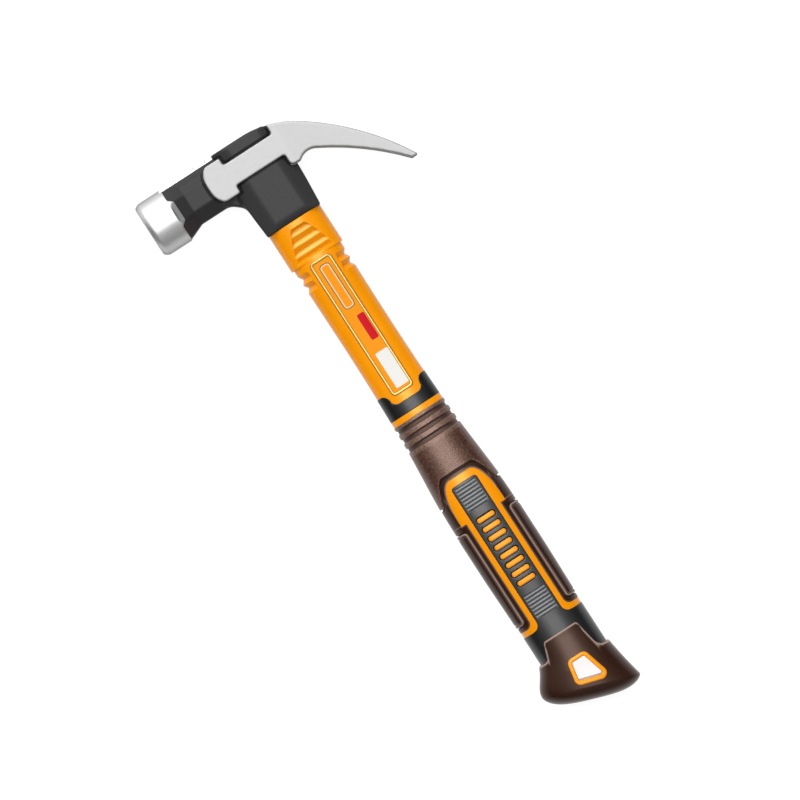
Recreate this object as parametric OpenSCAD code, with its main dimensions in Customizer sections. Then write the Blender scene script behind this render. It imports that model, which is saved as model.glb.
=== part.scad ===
// Claw hammer: forged split-claw head on a fibreglass-cored handle with a moulded two-tone grip.
// The hammer lies on its side. The handle runs along Y with the head at +Y, the claw points to +X,
// the striking face to -X, and Z goes up through the cheeks. Lengths are in millimetres.
// Heights along the handle are measured from the lower edge of the head's skirt.

/* [Head] */
// Height of the head from the skirt's lower edge to its top
head_h = 39.8; // [36:0.2:44]
// Diameter of the striking face
face_d = 24.1; // [22:0.1:26]
// Distance from the handle's axis to the striking face
face_reach = 51.1; // [47:0.1:56]
// Length of the round poll
poll_len = 12.8; // [10:0.1:15]
// Width of the bevel round the striking face
face_bevel = 1.3; // [0.5:0.1:2]
// Length of the bevel along the poll
face_bevel_len = 1.9; // [1:0.1:3]
// Height of the octagonal neck
neck_h = 19.3; // [17:0.1:20]
// Depth of the octagonal neck
neck_depth = 15.4; // [14:0.1:16.4]
// Length of the taper from the poll down to the neck
neck_taper_len = 6.7; // [4:0.1:9]
// Depth of the eye block between its two cheeks
cheek_depth = 17; // [16.8:0.1:19]
// Width of the flat panel in the middle of each cheek
cheek_panel_w = 15.6; // [12:0.1:18]
// Width of the bevels beside that panel
panel_bevel_w = 2.4; // [1.5:0.1:3]
// Depth of those bevels
panel_bevel_depth = 1; // [0.5:0.1:1.5]
// How far the bright side band stands out from the cheek
band_raise = 0.5; // [0.3:0.1:1]
// Height of the bright side band between its two ends
band_h = 9.6; // [7:0.1:11]
// Width of the eye block at the skirt's lower edge
skirt_w = 25; // [24.6:0.1:27]
// Width of the eye block where the skirt meets the neck
eye_block_w = 27.4; // [26.4:0.1:29]
// Height of the bevel round the lower edge of the skirt
skirt_bevel = 2.2; // [1:0.1:3]
// Distance from the head's top to the middle of the bright band
band_drop = 10.8; // [10:0.1:12]
// How far the band's rounded end runs out onto the neck
lobe_len = 8.4; // [6:0.1:10]
// Height of the band's rounded end
lobe_h = 16.4; // [14:0.1:18]

/* [Claw] */
// Distance from the handle's axis to the claw's tips
claw_reach = 56; // [52:0.2:60]
// How far the tips hang below the skirt's lower edge
claw_drop = 4.4; // [2:0.1:7]
// Radius of the claw's outer curve
claw_outer_r = 110; // [100:1:120]
// Radius of the claw's inner curve
claw_inner_r = 114; // [104:1:124]
// Radius that blends the flat top into the claw
top_blend_r = 43; // [38:1:46]
// Height of the hollow under the claw's root
claw_root_h = 20.8; // [19:0.1:22]
// Radius of the fillet under the claw's root
claw_root_r = 6.5; // [5:0.1:7]
// Thickness of the blunt tips, measured level
tip_t = 2.7; // [2:0.1:3.5]
// Width over the two tips
claw_w = 24.1; // [22.4:0.1:24.1]
// Distance from the handle's axis to the bottom of the nail slot
slot_start = 24; // [22:0.5:32]
// Width of the nail slot at its bottom
slot_root_w = 2; // [1.2:0.1:3]
// Width of the nail slot between the tips
slot_tip_w = 8.4; // [6:0.1:9]

/* [Nail starter] */
// Width of the rib along the top of the neck
starter_rib_w = 10; // [8:0.2:12]
// Height of the neck's top flat below the rib
starter_rib_h = 1.7; // [1:0.1:2]
// Width of the groove that a nail's shank lies in
starter_groove_w = 3.2; // [2:0.1:4]
// Length of the notch for the nail's head
starter_notch_len = 4.9; // [3:0.1:6]
// Depth of that notch
starter_notch_depth = 0.9; // [0.5:0.1:1.4]
// Diameter of the magnet
magnet_d = 3; // [2:0.1:3.4]
// Length of the magnet
magnet_len = 4; // [3:0.1:6]

/* [Eye and core] */
// Width of the fibreglass core
core_w = 17; // [15:0.1:17.6]
// Thickness of the fibreglass core
core_t = 9.4; // [8:0.1:9.8]
// Thickness of the resin between the core and the eye
resin_t = 1; // [0.6:0.1:1.4]
// How far the core and resin stop below the top of the eye
eye_recess = 0.8; // [0.4:0.1:2]

/* [Shaft] */
// Length of the bare shaft between the head and the collar
shaft_len = 78.3; // [70:0.1:100]
// Width of the shaft under the head
shoulder_w = 24.2; // [23:0.1:24.4]
// Depth of the shaft under the head
shoulder_d = 16.6; // [16:0.1:16.8]
// Length of the wide shoulder
shoulder_len = 16.5; // [14:0.1:20]
// Width of the shaft at its waist
shaft_w = 21.8; // [20.4:0.1:23]
// Depth of the shaft at its waist
shaft_d = 15.2; // [14.6:0.1:16]
// Depth of the saw-tooth steps in the thumb rest and at the sides
step_depth = 0.8; // [0.4:0.1:1]
// Distance from the shoulder to the first saw-tooth step at the sides
step_lead = 3.4; // [2:0.1:6]
// Spacing of the saw-tooth steps along the handle
step_pitch = 4; // [3:0.1:4.4]
// Distance from the head to the thumb rest
thumb_gap = 2.6; // [1.5:0.1:4]
// Width of the thumb rest's lower edge
thumb_w = 17; // [14:0.1:19]
// Width of the thumb rest's upper edge
thumb_top_w = 6; // [4:0.1:8]

/* [Label] */
// Width of the front label
label_w = 10.2; // [8:0.1:12]
// Length of the front label
label_len = 63; // [50:0.1:66]
// Distance from the shoulder to the front label
label_gap = 1.5; // [1:0.1:3]
// Thickness of the front label
label_t = 0.2; // [0.1:0.05:0.4]

/* [Grip] */
// Thickness of the soft grip over the jacket
soft_t = 2.2; // [1.6:0.1:2.6]
// Length of the collar along the sides of the handle
collar_len = 11; // [9:0.1:14]
// Width of the shaft's tongue that runs down into the collar
tongue_w = 14; // [11:0.1:16]
// How far that tongue runs into the collar
tongue_len = 5.7; // [3:0.1:7]
// Length of the amber ring above the sleeve
ring_len = 2.2; // [1.5:0.1:3]
// Width of the handle at the ring
ring_w = 23; // [22:0.1:24]
// Depth of the handle at the ring
ring_d = 17.4; // [16.6:0.1:19]
// Number of ribs round the sleeve
rib_count = 3; // [2:1:4]
// Length of the sleeve from the ring to the arched groove
sleeve_len = 27; // [24:0.1:34]
// How far the arched groove falls towards the edges of the handle
arch_rise = 10.6; // [8:0.1:13]
// Width of the brown border between the arched groove and the amber arch
arch_border = 1.7; // [1:0.1:3]
// Width of the grooves between the soft pieces
groove_w = 0.8; // [0.4:0.1:1.2]
// Width of the grip at the palm swell
palm_w = 28.2; // [26:0.1:30]
// Depth of the grip at the palm swell
palm_d = 22.4; // [21:0.1:23.6]
// Length of the palm swell before it narrows
palm_len = 20; // [15:0.1:30]
// Width of the grip above the butt
wrist_w = 27.4; // [25:0.1:29]
// Depth of the grip above the butt
wrist_d = 21.8; // [20:0.1:23.4]
// Width of the black panel
panel_w = 12; // [10:0.1:13]
// Length of the black panel, down to the band
panel_len = 64; // [60:0.1:74]
// Width of the amber frame beside the panel
frame_w = 2; // [1.4:0.1:2.4]
// Width of the amber arch over the panel
arch_w = 20.8; // [18:0.1:22]
// Height of the amber arch above the panel
arch_crown = 3; // [2:0.1:4]
// Length of the amber arch beside the panel
arch_len = 15.3; // [13:0.1:17]
// Distance from the foot of the amber arch to the side pads
pad_gap = 2.5; // [1.5:0.1:4]
// Length of the side pads
pad_len = 43.7; // [38:0.1:44.5]
// Distance from the handle's middle to the side pads
pad_inset = 10; // [9.4:0.1:11]
// Distance from the panel's edges to the index bars
bar_margin = 2; // [1.4:0.1:3]
// Distance from the louvred blocks to the index bars
bar_gap = 3.1; // [2:0.1:5]
// Number of index bars in the black panel
bar_count = 8; // [5:1:9]
// Distance from the panel's upper edge to the first louvred block
louvre_gap = 1.2; // [0.8:0.1:2]
// Distance from the band's upper edge to the last louvred block
louvre_foot = 3.6; // [3:0.1:5]
// Length of the louvred blocks at both ends of the panel
louvre_len = 10.5; // [8:0.1:12]
// Width of the louvred blocks
louvre_w = 9.4; // [7:0.1:9.6]
// Number of grooves in each louvred block
louvre_count = 7; // [4:1:8]
// Depth of those grooves
louvre_depth = 0.5; // [0.3:0.1:0.8]
// Length of the black band at the middle of the handle
band_len = 5.2; // [4:0.1:7]
// How far the black band runs on down the toe
toe_fall = 6.6; // [4:0.1:8]
// How far the black band runs on down the heel
heel_fall = 13; // [10:0.1:14]

/* [Butt] */
// Length of the butt along its heel, under the claw
heel_len = 31.8; // [28:0.1:34]
// Length of the butt along its toe, under the striking face
toe_len = 18.4; // [15:0.1:21]
// Thickness of the butt
butt_d = 24.1; // [23.6:0.1:24.1]
// How far the butt flares out on the striking side
toe_flare = 6.7; // [4:0.1:8]
// How far the butt flares out on the claw side
heel_flare = 4.2; // [2:0.1:6]
// Height of the dome on the butt's end
dome_h = 5.6; // [4:0.1:7]
// How far the core runs down into the butt
core_tuck = 8; // [6:0.1:10]
// Distance from the butt's upper edge to the hanging hole
hole_drop = 13.2; // [12:0.1:15]
// Width of the hanging hole at its upper edge
hole_top_w = 5.6; // [4.6:0.1:7]
// Width of the hanging hole at its lower edge
hole_bottom_w = 10; // [8:0.1:11]
// Length of the hanging hole on the claw side
hole_len = 10.6; // [9:0.1:12]
// Wall of the liner round the hanging hole
eyelet_t = 1.9; // [1.4:0.1:2.2]

/* [Hidden] */
$fn = 64;
// Points round a handle section, and the exponent that squares the oval off a little
ring_points = 36;
squareness = 2.5;
// More than the hammer's depth, and more than its length, for cuts that go right through
through = 60;
beyond = 500;
// Overlap that keeps a cut or a joined piece clear of the face it starts from
lap = 1;
// How far above the collar the soft grip's seat starts
seat_lead = 8;

// Small roundings of the outlines in the front view
foot_r = 3;
panel_r = 1.4;
bar_r = 0.9;
pad_r = 1.6;
label_r = 2;
hole_r = 0.8;

// Head layout; the poll and the rib lie a little below the top of the eye block
poll_r = face_d / 2;
rib_top = head_h - 0.1;
poll_y = rib_top - poll_r;
neck_y = head_h - starter_rib_h - neck_h / 2;
poll_end = -face_reach + poll_len;
neck_start = poll_end + neck_taper_len;
block_half = eye_block_w / 2;
neck_low = neck_y - neck_h / 2;
band_depth = cheek_depth + 2 * band_raise;
band_y = head_h - band_drop;
lobe_x = -block_half - lobe_len;
lobe_r = 10.6;
// Bevels at the head's corners, its top and its skirt, and the gusset under the neck
corner_bevel = 1.6;
top_bevel = 1.2;
skirt_bevel_depth = 1;
gusset_len = 4.6;
gusset_h = 4;
// Nail starter, in the middle of the rib between the eye block and the poll's taper
starter_x = -block_half - 6.2;
starter_floor = rib_top - starter_notch_depth;

// Claw curves: each arc ends at the tip and runs on tangent to the blend or fillet at its root
tip_out = [claw_reach, -claw_drop];
tip_in = [claw_reach - tip_t, -claw_drop];
// The level top ends just before the handle's axis, and the fillet bites a little into the eye block
blend_c = [-1, head_h - top_blend_r];
root_c = [block_half - 0.3 + claw_root_r, claw_root_h - claw_root_r];
outer_c = circles_meet(tip_out, claw_outer_r, blend_c, claw_outer_r - top_blend_r);
inner_c = circles_meet(tip_in, claw_inner_r, root_c, claw_inner_r - claw_root_r);
blend_end = tangent_point(outer_c, claw_outer_r, blend_c);
root_end = tangent_point(inner_c, claw_inner_r, root_c);
// Where the claw's root ends on the cheek, and the rounding of its lip
claw_start = block_half - 2.6;
root_lip_r = 1.8;

// Heights along the handle
collar_y = -shaft_len;
ring_y = collar_y - collar_len;
sleeve_y = ring_y - ring_len;
ribs_y = sleeve_y - 0.3;
ribs_end = ribs_y - rib_count * step_pitch;
arch_y = sleeve_y - sleeve_len;
arch_foot = arch_y - arch_rise;
field_y = arch_y - groove_w - arch_border;
panel_y = field_y - arch_crown;
step_y = panel_y - arch_len;
pad_y = step_y - pad_gap;
band_top = panel_y - panel_len - frame_w;
butt_y = band_top - band_len;
butt_end = min([for (s = butt_sections(), p = s) p.y]);
core_end = butt_y - core_tuck;
hole_y = butt_y - hole_drop;
louvres_y = panel_y - louvre_gap;
louvres_low = band_top + louvre_foot;
bars_y = louvres_y - louvre_len - bar_gap;
bars_low = louvres_low + louvre_len + bar_gap;
// Where the waist of the shaft is, where the palm is widest, and where its swell starts to narrow
waist_y = collar_y * 0.7;
palm_y = step_y - pad_gap / 2;
swell_y = step_y - palm_len;

// Shoulder steps and thumb rest, whose crests lie a little below the shoulder's surface
side_steps_y = -shoulder_len - step_lead;
thumb_y = -thumb_gap;
thumb_steps_y = thumb_y - 1.2;
thumb_drop = 0.1;

// The hammer's box, for the origin at the middle of its footprint
rest_h = max(face_d, butt_d, claw_w) / 2;
box_mid = [(claw_reach - face_reach) / 2, (head_h + butt_end) / 2];

// Centre of the circle of radius ra round a and rb round b that lies to the lower left
function circles_meet(a, ra, b, rb) =
  let (d = norm(b - a), u = (b - a) / d, t = (ra * ra - rb * rb + d * d) / (2 * d))
  a + t * u + sqrt(ra * ra - t * t) * [-u.y, u.x];
// Where a circle of radius r round c touches the smaller circle round b inside it
function tangent_point(c, r, b) = c + r * (b - c) / norm(b - c);
function smooth(t) = let (s = min(1, max(0, t))) s * s * (3 - 2 * s);
function mix(a, b, t) = a + (b - a) * t;
function part_of(y, from, to) = (y - from) / (to - from);
// Evenly spaced values from a to b
function spread(a, b, n) = [for (i = [0:n]) mix(a, b, i / n)];
function arc(c, r, a0, a1, n = 8) = [for (a = spread(a0, a1, n)) c + r * [cos(a), sin(a)]];
function mirrored(points) = [for (i = [len(points) - 1:-1:0]) [-points[i].x, points[i].y]];

// Width or depth of the handle at height y, from its sizes at the shoulder, waist, ring, palm and wrist
function along(y, shoulder, waist, ring, palm, wrist) =
  y > -shoulder_len - lap / 2 ? shoulder
  : y > waist_y ? mix(waist + 0.4, waist, smooth(part_of(y, -shoulder_len, waist_y)))
  : y > sleeve_y ? mix(waist, ring, pow(part_of(y, waist_y, sleeve_y), 2))
  : y > step_y ? mix(ring, palm, smooth(part_of(y, sleeve_y, step_y)))
  : mix(palm, wrist, smooth(part_of(y, swell_y, band_top)));
function half_w(y) = along(y, shoulder_w, shaft_w, ring_w, palm_w, wrist_w) / 2;
function half_d(y) = along(y, shoulder_d, shaft_d, ring_d, palm_d, wrist_d) / 2;
// One section of the handle: an oval squared off by the exponent, between a left and a right point
function section(left, right, d) =
  [for (i = [0:ring_points - 1]) let (a = 360 * i / ring_points, c = cos(a), s = sin(a),
    m = (left + right) / 2 + (right - left) / 2 * sign(c) * pow(abs(c), 2 / squareness))
    [m.x, m.y, d * sign(s) * pow(abs(s), 2 / squareness)]];
function level_section(y, cut_w = 0, cut_d = 0) =
  section([cut_w - half_w(y), y], [half_w(y) - cut_w, y], half_d(y) - cut_d);

// Heights where the plain grip and the soft grip's seat have a section, clear of the outlines' own edges
seat_heights = concat(spread(collar_y + seat_lead, sleeve_y - lap, 2), spread(ribs_end, palm_y, 4),
  spread(swell_y, band_top + lap, 3), [butt_y + lap, core_end - 2]);
function heights(top, low) =
  concat([top], [for (y = seat_heights) if (y < top - lap / 2 && y > low + lap / 2) y], [low]);

// Skin stretched over a list of sections, from the head end to the butt end
module skin(sections) {
  n = ring_points;
  last = (len(sections) - 1) * n;
  sides = [for (k = [0:len(sections) - 2], i = [0:n - 1])
    let (a = k * n + i, b = k * n + (i + 1) % n) each [[a, b + n, b], [a, a + n, b + n]]];
  polyhedron([for (s = sections) each s],
    concat([[for (i = [0:n - 1]) i]], sides, [[for (i = [n - 1:-1:0]) last + i]]));
}

module grip_body(top, low, cut = 0) {
  skin([for (y = heights(top, low)) level_section(y, cut, cut)]);
}

// Everything on the handle inside an outline of the front view, front and back alike
module within(low_z = -through / 2) {
  intersection() {
    union() children([0:$children - 2]);
    translate([0, 0, low_z]) linear_extrude(through) children($children - 1);
  }
}

// Soft layer over its seat, inside an outline of the front view
module soft_layer(top, low) {
  within() {
    difference() {
      grip_body(top, low);
      grip_body(top + lap, low - lap, soft_t);
    }
    children();
  }
}

module on_floor() {
  translate([-box_mid.x, -box_mid.y, rest_h]) children();
}

// Outlines in the front view

module outline_above(points) {
  polygon(concat(points, [[through, points[len(points) - 1].y], [through, through], [-through, through],
    [-through, points[0].y]]));
}

module strip(high, low) {
  translate([-through, low]) square([2 * through, high - low]);
}

module rounded(size, r) {
  offset(r) offset(-r) square(size, center = true);
}

// Lower edge of the sleeve: a level crown that falls in two curves to the edges
module arch_zone(drop) {
  half = palm_w / 2;
  crown = 0.23 * palm_w;
  right = [for (t = spread(0, 1, 8)) [mix(crown, half * 0.86, t), arch_y - drop - arch_rise * t * t]];
  outline_above(concat(mirrored(right), right));
}

// Amber field: the arch over the panel, the frame beside it and the ledges out to the edges
module field_outline() {
  half = arch_w / 2;
  crown = panel_w / 2 - foot_r / 2;
  shoulder = [for (t = spread(0, 1, 8)) [mix(crown, half, sin(90 * t)), mix(field_y, step_y, t * t)]];
  side = panel_w / 2 + frame_w;
  polygon(concat(mirrored(shoulder), shoulder));
  translate([-side, band_top]) square([2 * side, step_y - band_top + lap]);
  difference() {
    strip(band_top + frame_w + foot_r, band_top);
    for (m = [-1, 1])
      translate([m * (side + foot_r), band_top + frame_w + foot_r]) {
        circle(foot_r);
        translate([m < 0 ? -through : 0, -foot_r]) square([through, 2 * foot_r]);
      }
  }
}

module panel_outline() {
  panel_h = panel_y - band_top;
  translate([0, panel_y - panel_h / 2 - lap]) rounded([panel_w, panel_h + 2 * lap], panel_r);
  intersection() {
    strip(band_top + foot_r, band_top - lap);
    difference() {
      square([panel_w + 2 * foot_r, beyond], center = true);
      for (m = [-1, 1]) translate([m * (panel_w / 2 + foot_r), band_top + foot_r]) circle(foot_r);
    }
  }
}

module bars_outline() {
  pitch = (bars_y - bars_low) / bar_count;
  for (i = [0:bar_count - 1])
    translate([0, bars_y - pitch * (i + 0.5)]) rounded([panel_w - 2 * bar_margin, pitch / 2], bar_r);
}

// Upper edge of the butt: a tongue on the flat side that falls away to both edges
module butt_zone() {
  half = wrist_w / 2;
  toe_y = butt_y - toe_fall;
  heel_y = butt_y - heel_fall;
  polygon([[-through, butt_end - lap], [-through, toe_y - lap], [-half * 0.86, toe_y - lap],
    [-half * 0.76, toe_y], [-half * 0.58, butt_y], [half * 0.55, butt_y],
    [half * 0.72, heel_y + 2 * lap], [half * 0.84, heel_y],
    [through, heel_y - lap / 2], [through, butt_end - lap]]);
}

// Hanging hole: its lower edge slants and lies mostly on the striking side
module hole_outline(grow = 0) {
  top = hole_top_w / 2;
  offset(hole_r + grow) offset(-hole_r)
    polygon([[-top, hole_y], [top, hole_y], [top + hole_bottom_w * 0.3, hole_y - hole_len],
      [top - hole_bottom_w * 0.7, hole_y - hole_len * 0.72]]);
}

// Head

// Everything below the head's top line, which is level and then bends down into the claw
module under_top() {
  translate(blend_c) circle(top_blend_r, $fn = 256);
  translate([blend_c.x - through, -through]) square([through, through + head_h]);
}

// Eye block: the common space of its front, plan and side views
module eye_block() {
  half = cheek_depth / 2;
  panel = cheek_panel_w / 2;
  edge = panel + panel_bevel_w;
  edge_z = half - panel_bevel_depth;
  corner_z = edge_z - corner_bevel;
  wide = block_half + lap;
  front = [[-wide, corner_z], [-edge, edge_z], [-panel, half],
    [panel, half], [edge, edge_z], [wide, corner_z]];
  intersection() {
    translate([0, 0, -through / 2]) linear_extrude(through) intersection() {
      polygon([[-skirt_w / 2, 0], [skirt_w / 2, 0], [block_half, neck_low], [block_half, head_h],
        [-block_half, head_h], [-block_half, neck_low - gusset_h + lap]]);
      under_top();
    }
    rotate([-90, 0, 0]) linear_extrude(head_h)
      polygon(concat(front, [for (i = [len(front) - 1:-1:0]) [front[i].x, -front[i].y]]));
    translate([-through / 2, 0, 0]) rotate([90, 0, 90]) linear_extrude(through)
      polygon([[0, skirt_bevel_depth - half], [skirt_bevel, -half], [head_h - top_bevel, -half],
        [head_h, top_bevel - half], [head_h, half - top_bevel], [head_h - top_bevel, half],
        [skirt_bevel, half], [0, half - skirt_bevel_depth]]);
  }
}

// Thin slab of the neck's section: a box with its corners cut off, square across the head
module octagon_slab(x, y, h, d) {
  side = tan(22.5) / 2;
  translate([x, y, 0]) rotate([90, 0, 90]) linear_extrude(0.2)
    polygon([[-side * h, -d / 2], [side * h, -d / 2], [h / 2, -side * d], [h / 2, side * d],
      [side * h, d / 2], [-side * h, d / 2], [-h / 2, side * d], [-h / 2, -side * d]]);
}

// Poll with its bevelled face, and the octagonal neck that tapers away from it
module poll_and_neck() {
  translate([-face_reach, poll_y, 0]) rotate([0, 90, 0]) {
    cylinder(h = face_bevel_len, r1 = poll_r - face_bevel, r2 = poll_r);
    translate([0, 0, face_bevel_len]) cylinder(h = poll_len - face_bevel_len, r = poll_r);
  }
  hull() {
    octagon_slab(poll_end - 0.4, poll_y, face_d - 0.8, face_d - 0.8);
    octagon_slab(neck_start, neck_y, neck_h, neck_depth);
  }
  hull() {
    octagon_slab(neck_start, neck_y, neck_h, neck_depth);
    octagon_slab(0, neck_y, neck_h, neck_depth);
  }
  // Gusset under the neck
  translate([0, 0, -neck_depth / 4]) linear_extrude(neck_depth / 2)
    polygon([[-block_half - gusset_len, neck_low + lap], [-block_half - gusset_len, neck_low],
      [-block_half, neck_low - gusset_h], [0, neck_low - gusset_h], [0, neck_low + lap]]);
  // Rib that carries the nail starter
  translate([poll_end - lap, neck_y, -starter_rib_w / 2])
    cube([-block_half - poll_end + 2 * lap, rib_top - neck_y, starter_rib_w]);
}

// Side view of the claw, from the flat top to the blunt tips
module claw_outline() {
  difference() {
    union() {
      intersection() {
        translate(outer_c) circle(claw_outer_r, $fn = 256);
        translate([blend_end.x, -claw_drop]) square([claw_reach, through]);
      }
      intersection() {
        under_top();
        union() {
          translate([claw_start, claw_root_h]) square([blend_end.x - claw_start, through]);
          translate([claw_start + root_lip_r, claw_root_h]) circle(root_lip_r);
        }
      }
    }
    translate(inner_c) intersection() {
      circle(claw_inner_r, $fn = 256);
      translate([root_end.x - inner_c.x, -through]) square(4 * through);
    }
    hollow_root();
  }
}

module hollow_root() {
  translate(root_c) circle(claw_root_r);
  translate([root_c.x - claw_root_r, -through])
    square([root_end.x - root_c.x + claw_root_r, through + root_c.y]);
  translate([root_c.x, -through]) square([root_end.x - root_c.x, through + root_end.y]);
}

// Bright band along each cheek: a rounded lobe on the neck and a strip that runs on into the claw
module band_outline() {
  intersection() {
    translate([lobe_x + lobe_r, band_y]) circle(lobe_r);
    translate([lobe_x, band_y - lobe_h / 2]) square([2 * lap - block_half - lobe_x, lobe_h]);
  }
  translate([lap - block_half, band_y - band_h / 2]) square([2 * block_half, band_h]);
  claw_outline();
}

// Plan view of the band and the claw with its nail slot
module claw_plan() {
  half = band_depth / 2;
  slot_r = slot_root_w / 2;
  difference() {
    polygon([[lobe_x - lap, -half], [block_half, -half], [claw_reach, -claw_w / 2],
      [claw_reach + lap, -claw_w / 2], [claw_reach + lap, claw_w / 2], [claw_reach, claw_w / 2],
      [block_half, half], [lobe_x - lap, half]]);
    translate([slot_start + slot_r, 0]) circle(slot_r);
    polygon([[slot_start + slot_r, -slot_r], [claw_reach, -slot_tip_w / 2],
      [claw_reach + 2 * lap, -slot_tip_w / 2], [claw_reach + 2 * lap, slot_tip_w / 2],
      [claw_reach, slot_tip_w / 2], [slot_start + slot_r, slot_r]]);
  }
}

module eye_outline(grow = 0) {
  r = core_t / 2 + grow;
  arm = (core_w - core_t) / 2;
  polygon(concat(arc([arm, 0], r, -90, 90, 16), arc([-arm, 0], r, 90, 270, 16)));
}

// Prism of the core's section, grown by a margin, between two heights
module core_prism(top, low, grow = 0) {
  translate([0, top, 0]) rotate([90, 0, 0]) linear_extrude(top - low) eye_outline(grow);
}

module head() {
  color("gainsboro") on_floor() difference() {
    union() {
      poll_and_neck();
      eye_block();
      intersection() {
        translate([0, 0, -through / 2]) linear_extrude(through) band_outline();
        translate([0, through, 0]) rotate([90, 0, 0]) linear_extrude(2 * through) claw_plan();
      }
    }
    core_prism(head_h + lap, -lap, resin_t);
    translate([starter_x - starter_notch_len / 2, starter_floor, -through / 2])
      cube([starter_notch_len, through, through]);
    translate([-face_reach - lap, rib_top, 0]) rotate([0, 90, 0])
      cylinder(h = starter_x + face_reach + lap, d = starter_groove_w);
    translate([starter_x, starter_floor + lap, 0]) rotate([90, 0, 0])
      cylinder(h = magnet_len + lap, d = magnet_d);
  }
}

module nail_magnet() {
  color("dimgray") on_floor()
    translate([starter_x, starter_floor, 0]) rotate([90, 0, 0]) cylinder(h = magnet_len, d = magnet_d);
}

module epoxy_bond() {
  color("saddlebrown") on_floor() difference() {
    core_prism(head_h - eye_recess, 0, resin_t);
    core_prism(head_h + lap, -lap);
  }
}

module fibreglass_core() {
  color("beige") on_floor() core_prism(head_h - eye_recess, core_end);
}

// Handle

// Sections of the bare shaft, drawn in at the sides by two saw-tooth steps below the shoulder
function shaft_sections() =
  [for (v = concat([[0, 0], [-shoulder_len, 0], [-shoulder_len - lap, 0]],
      [for (i = [0:1]) each [[side_steps_y - i * step_pitch, 0], [side_steps_y - (i + 0.5) * step_pitch, 1]]],
      [[side_steps_y - 2 * step_pitch, 0]],
      [for (y = spread(side_steps_y - 2 * step_pitch - 6, sleeve_y - lap, 6)) [y, 0]]))
    level_section(v[0], v[1] * step_depth)];

// Sections of the thumb rest: saw-tooth steps across the flat of the shoulder, from above it to below it
function thumb_sections() =
  [for (i = [-1:7])
    level_section(thumb_steps_y - i * step_pitch / 2, 0, i % 2 == 0 ? step_depth : thumb_drop)];

module thumb_outline() {
  low = thumb_steps_y - 3 * step_pitch - lap / 4;
  right = [for (t = spread(0, 1, 6)) [mix(thumb_top_w / 2, thumb_w / 2, pow(t, 0.7)), mix(thumb_y, low, t)]];
  polygon(concat(mirrored(right), right));
}

// Lower edge of the bare shaft, with the tongue that runs down the middle
module shaft_zone() {
  half = tongue_w / 2;
  r = tongue_len / 2;
  right = concat(arc([half - r, collar_y - r], r, -90, 0), arc([half + r, collar_y - r], r, 180, 90));
  outline_above(concat(mirrored(right), right));
}

module shaft_jacket() {
  color("orange") on_floor() difference() {
    union() {
      grip_body(-lap, core_end, soft_t);
      within() {
        difference() {
          skin(shaft_sections());
          translate([0, 0, -through / 2]) linear_extrude(through) thumb_outline();
        }
        union() {
          shaft_zone();
          strip(ring_y, sleeve_y);
        }
      }
      within() {
        skin(thumb_sections());
        thumb_outline();
      }
      within() {
        grip_body(field_y + lap, band_top - lap);
        difference() {
          field_outline();
          difference() {
            panel_outline();
            bars_outline();
          }
        }
      }
    }
    core_prism(lap, core_end - lap);
  }
}

module front_label() {
  color("silver") on_floor() within(0) {
    difference() {
      skin([for (y = spread(-shoulder_len - lap / 2, collar_y - tongue_len, 5))
        level_section(y, -label_t, -label_t)]);
      skin(shaft_sections());
    }
    translate([0, -shoulder_len - label_gap - label_len / 2]) rounded([label_w, label_len], label_r);
  }
}

module grip_collar() {
  color("black") on_floor() soft_layer(collar_y + lap, ring_y - lap) difference() {
    strip(collar_y, ring_y);
    shaft_zone();
  }
}

module grip_sleeve() {
  color("saddlebrown") on_floor() within() {
    difference() {
      skin(concat([level_section(sleeve_y, 0, 0)],
        [for (i = [0:2 * rib_count - 1])
          let (cut = i % 2 == 0 ? step_depth : 0) level_section(ribs_y - (i + 1) * step_pitch / 2, cut, cut)],
        [for (y = heights(ribs_end - lap / 4, arch_foot - 2 * lap)) level_section(y)]));
      grip_body(sleeve_y + lap, arch_foot - 3 * lap, soft_t);
    }
    arch_zone(0);
  }
}

module pads_outline(grow = 0) {
  for (m = [-1, 1])
    translate([m * (pad_inset + through / 2), pad_y - pad_len / 2])
      offset(grow) rounded([through, pad_len], pad_r);
}

module grip_frame() {
  color("saddlebrown") on_floor() soft_layer(arch_y + lap, band_top + frame_w - lap) difference() {
    strip(arch_y + lap, band_top + frame_w);
    arch_zone(groove_w);
    field_outline();
    panel_outline();
    pads_outline(groove_w / 2);
  }
}

module side_pad(side) {
  color("sienna") on_floor() soft_layer(pad_y + lap, pad_y - pad_len - lap) intersection() {
    pads_outline();
    translate([side < 0 ? -through : 0, -beyond]) square([through, beyond]);
  }
}

module face_side_pad() {
  side_pad(-1);
}

module claw_side_pad() {
  side_pad(1);
}

// Grooves of one louvred block, front and back, with its middle at height y
module louvre_grooves(y) {
  pitch = louvre_len / louvre_count;
  for (i = [0:louvre_count - 1], m = [0, 1])
    let (groove_y = y + (i - (louvre_count - 1) / 2) * pitch)
      mirror([0, 0, m]) translate([-louvre_w / 2, groove_y - pitch / 4, half_d(groove_y) - louvre_depth])
        cube([louvre_w, pitch / 2, through]);
}

module grip_inlay() {
  color("dimgray") on_floor() difference() {
    soft_layer(panel_y + lap, butt_y - heel_fall - 2 * lap) difference() {
      union() {
        panel_outline();
        strip(band_top, butt_y - heel_fall - lap);
      }
      bars_outline();
      butt_zone();
    }
    louvre_grooves(louvres_y - louvre_len / 2);
    louvre_grooves(louvres_low + louvre_len / 2);
  }
}

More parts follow.
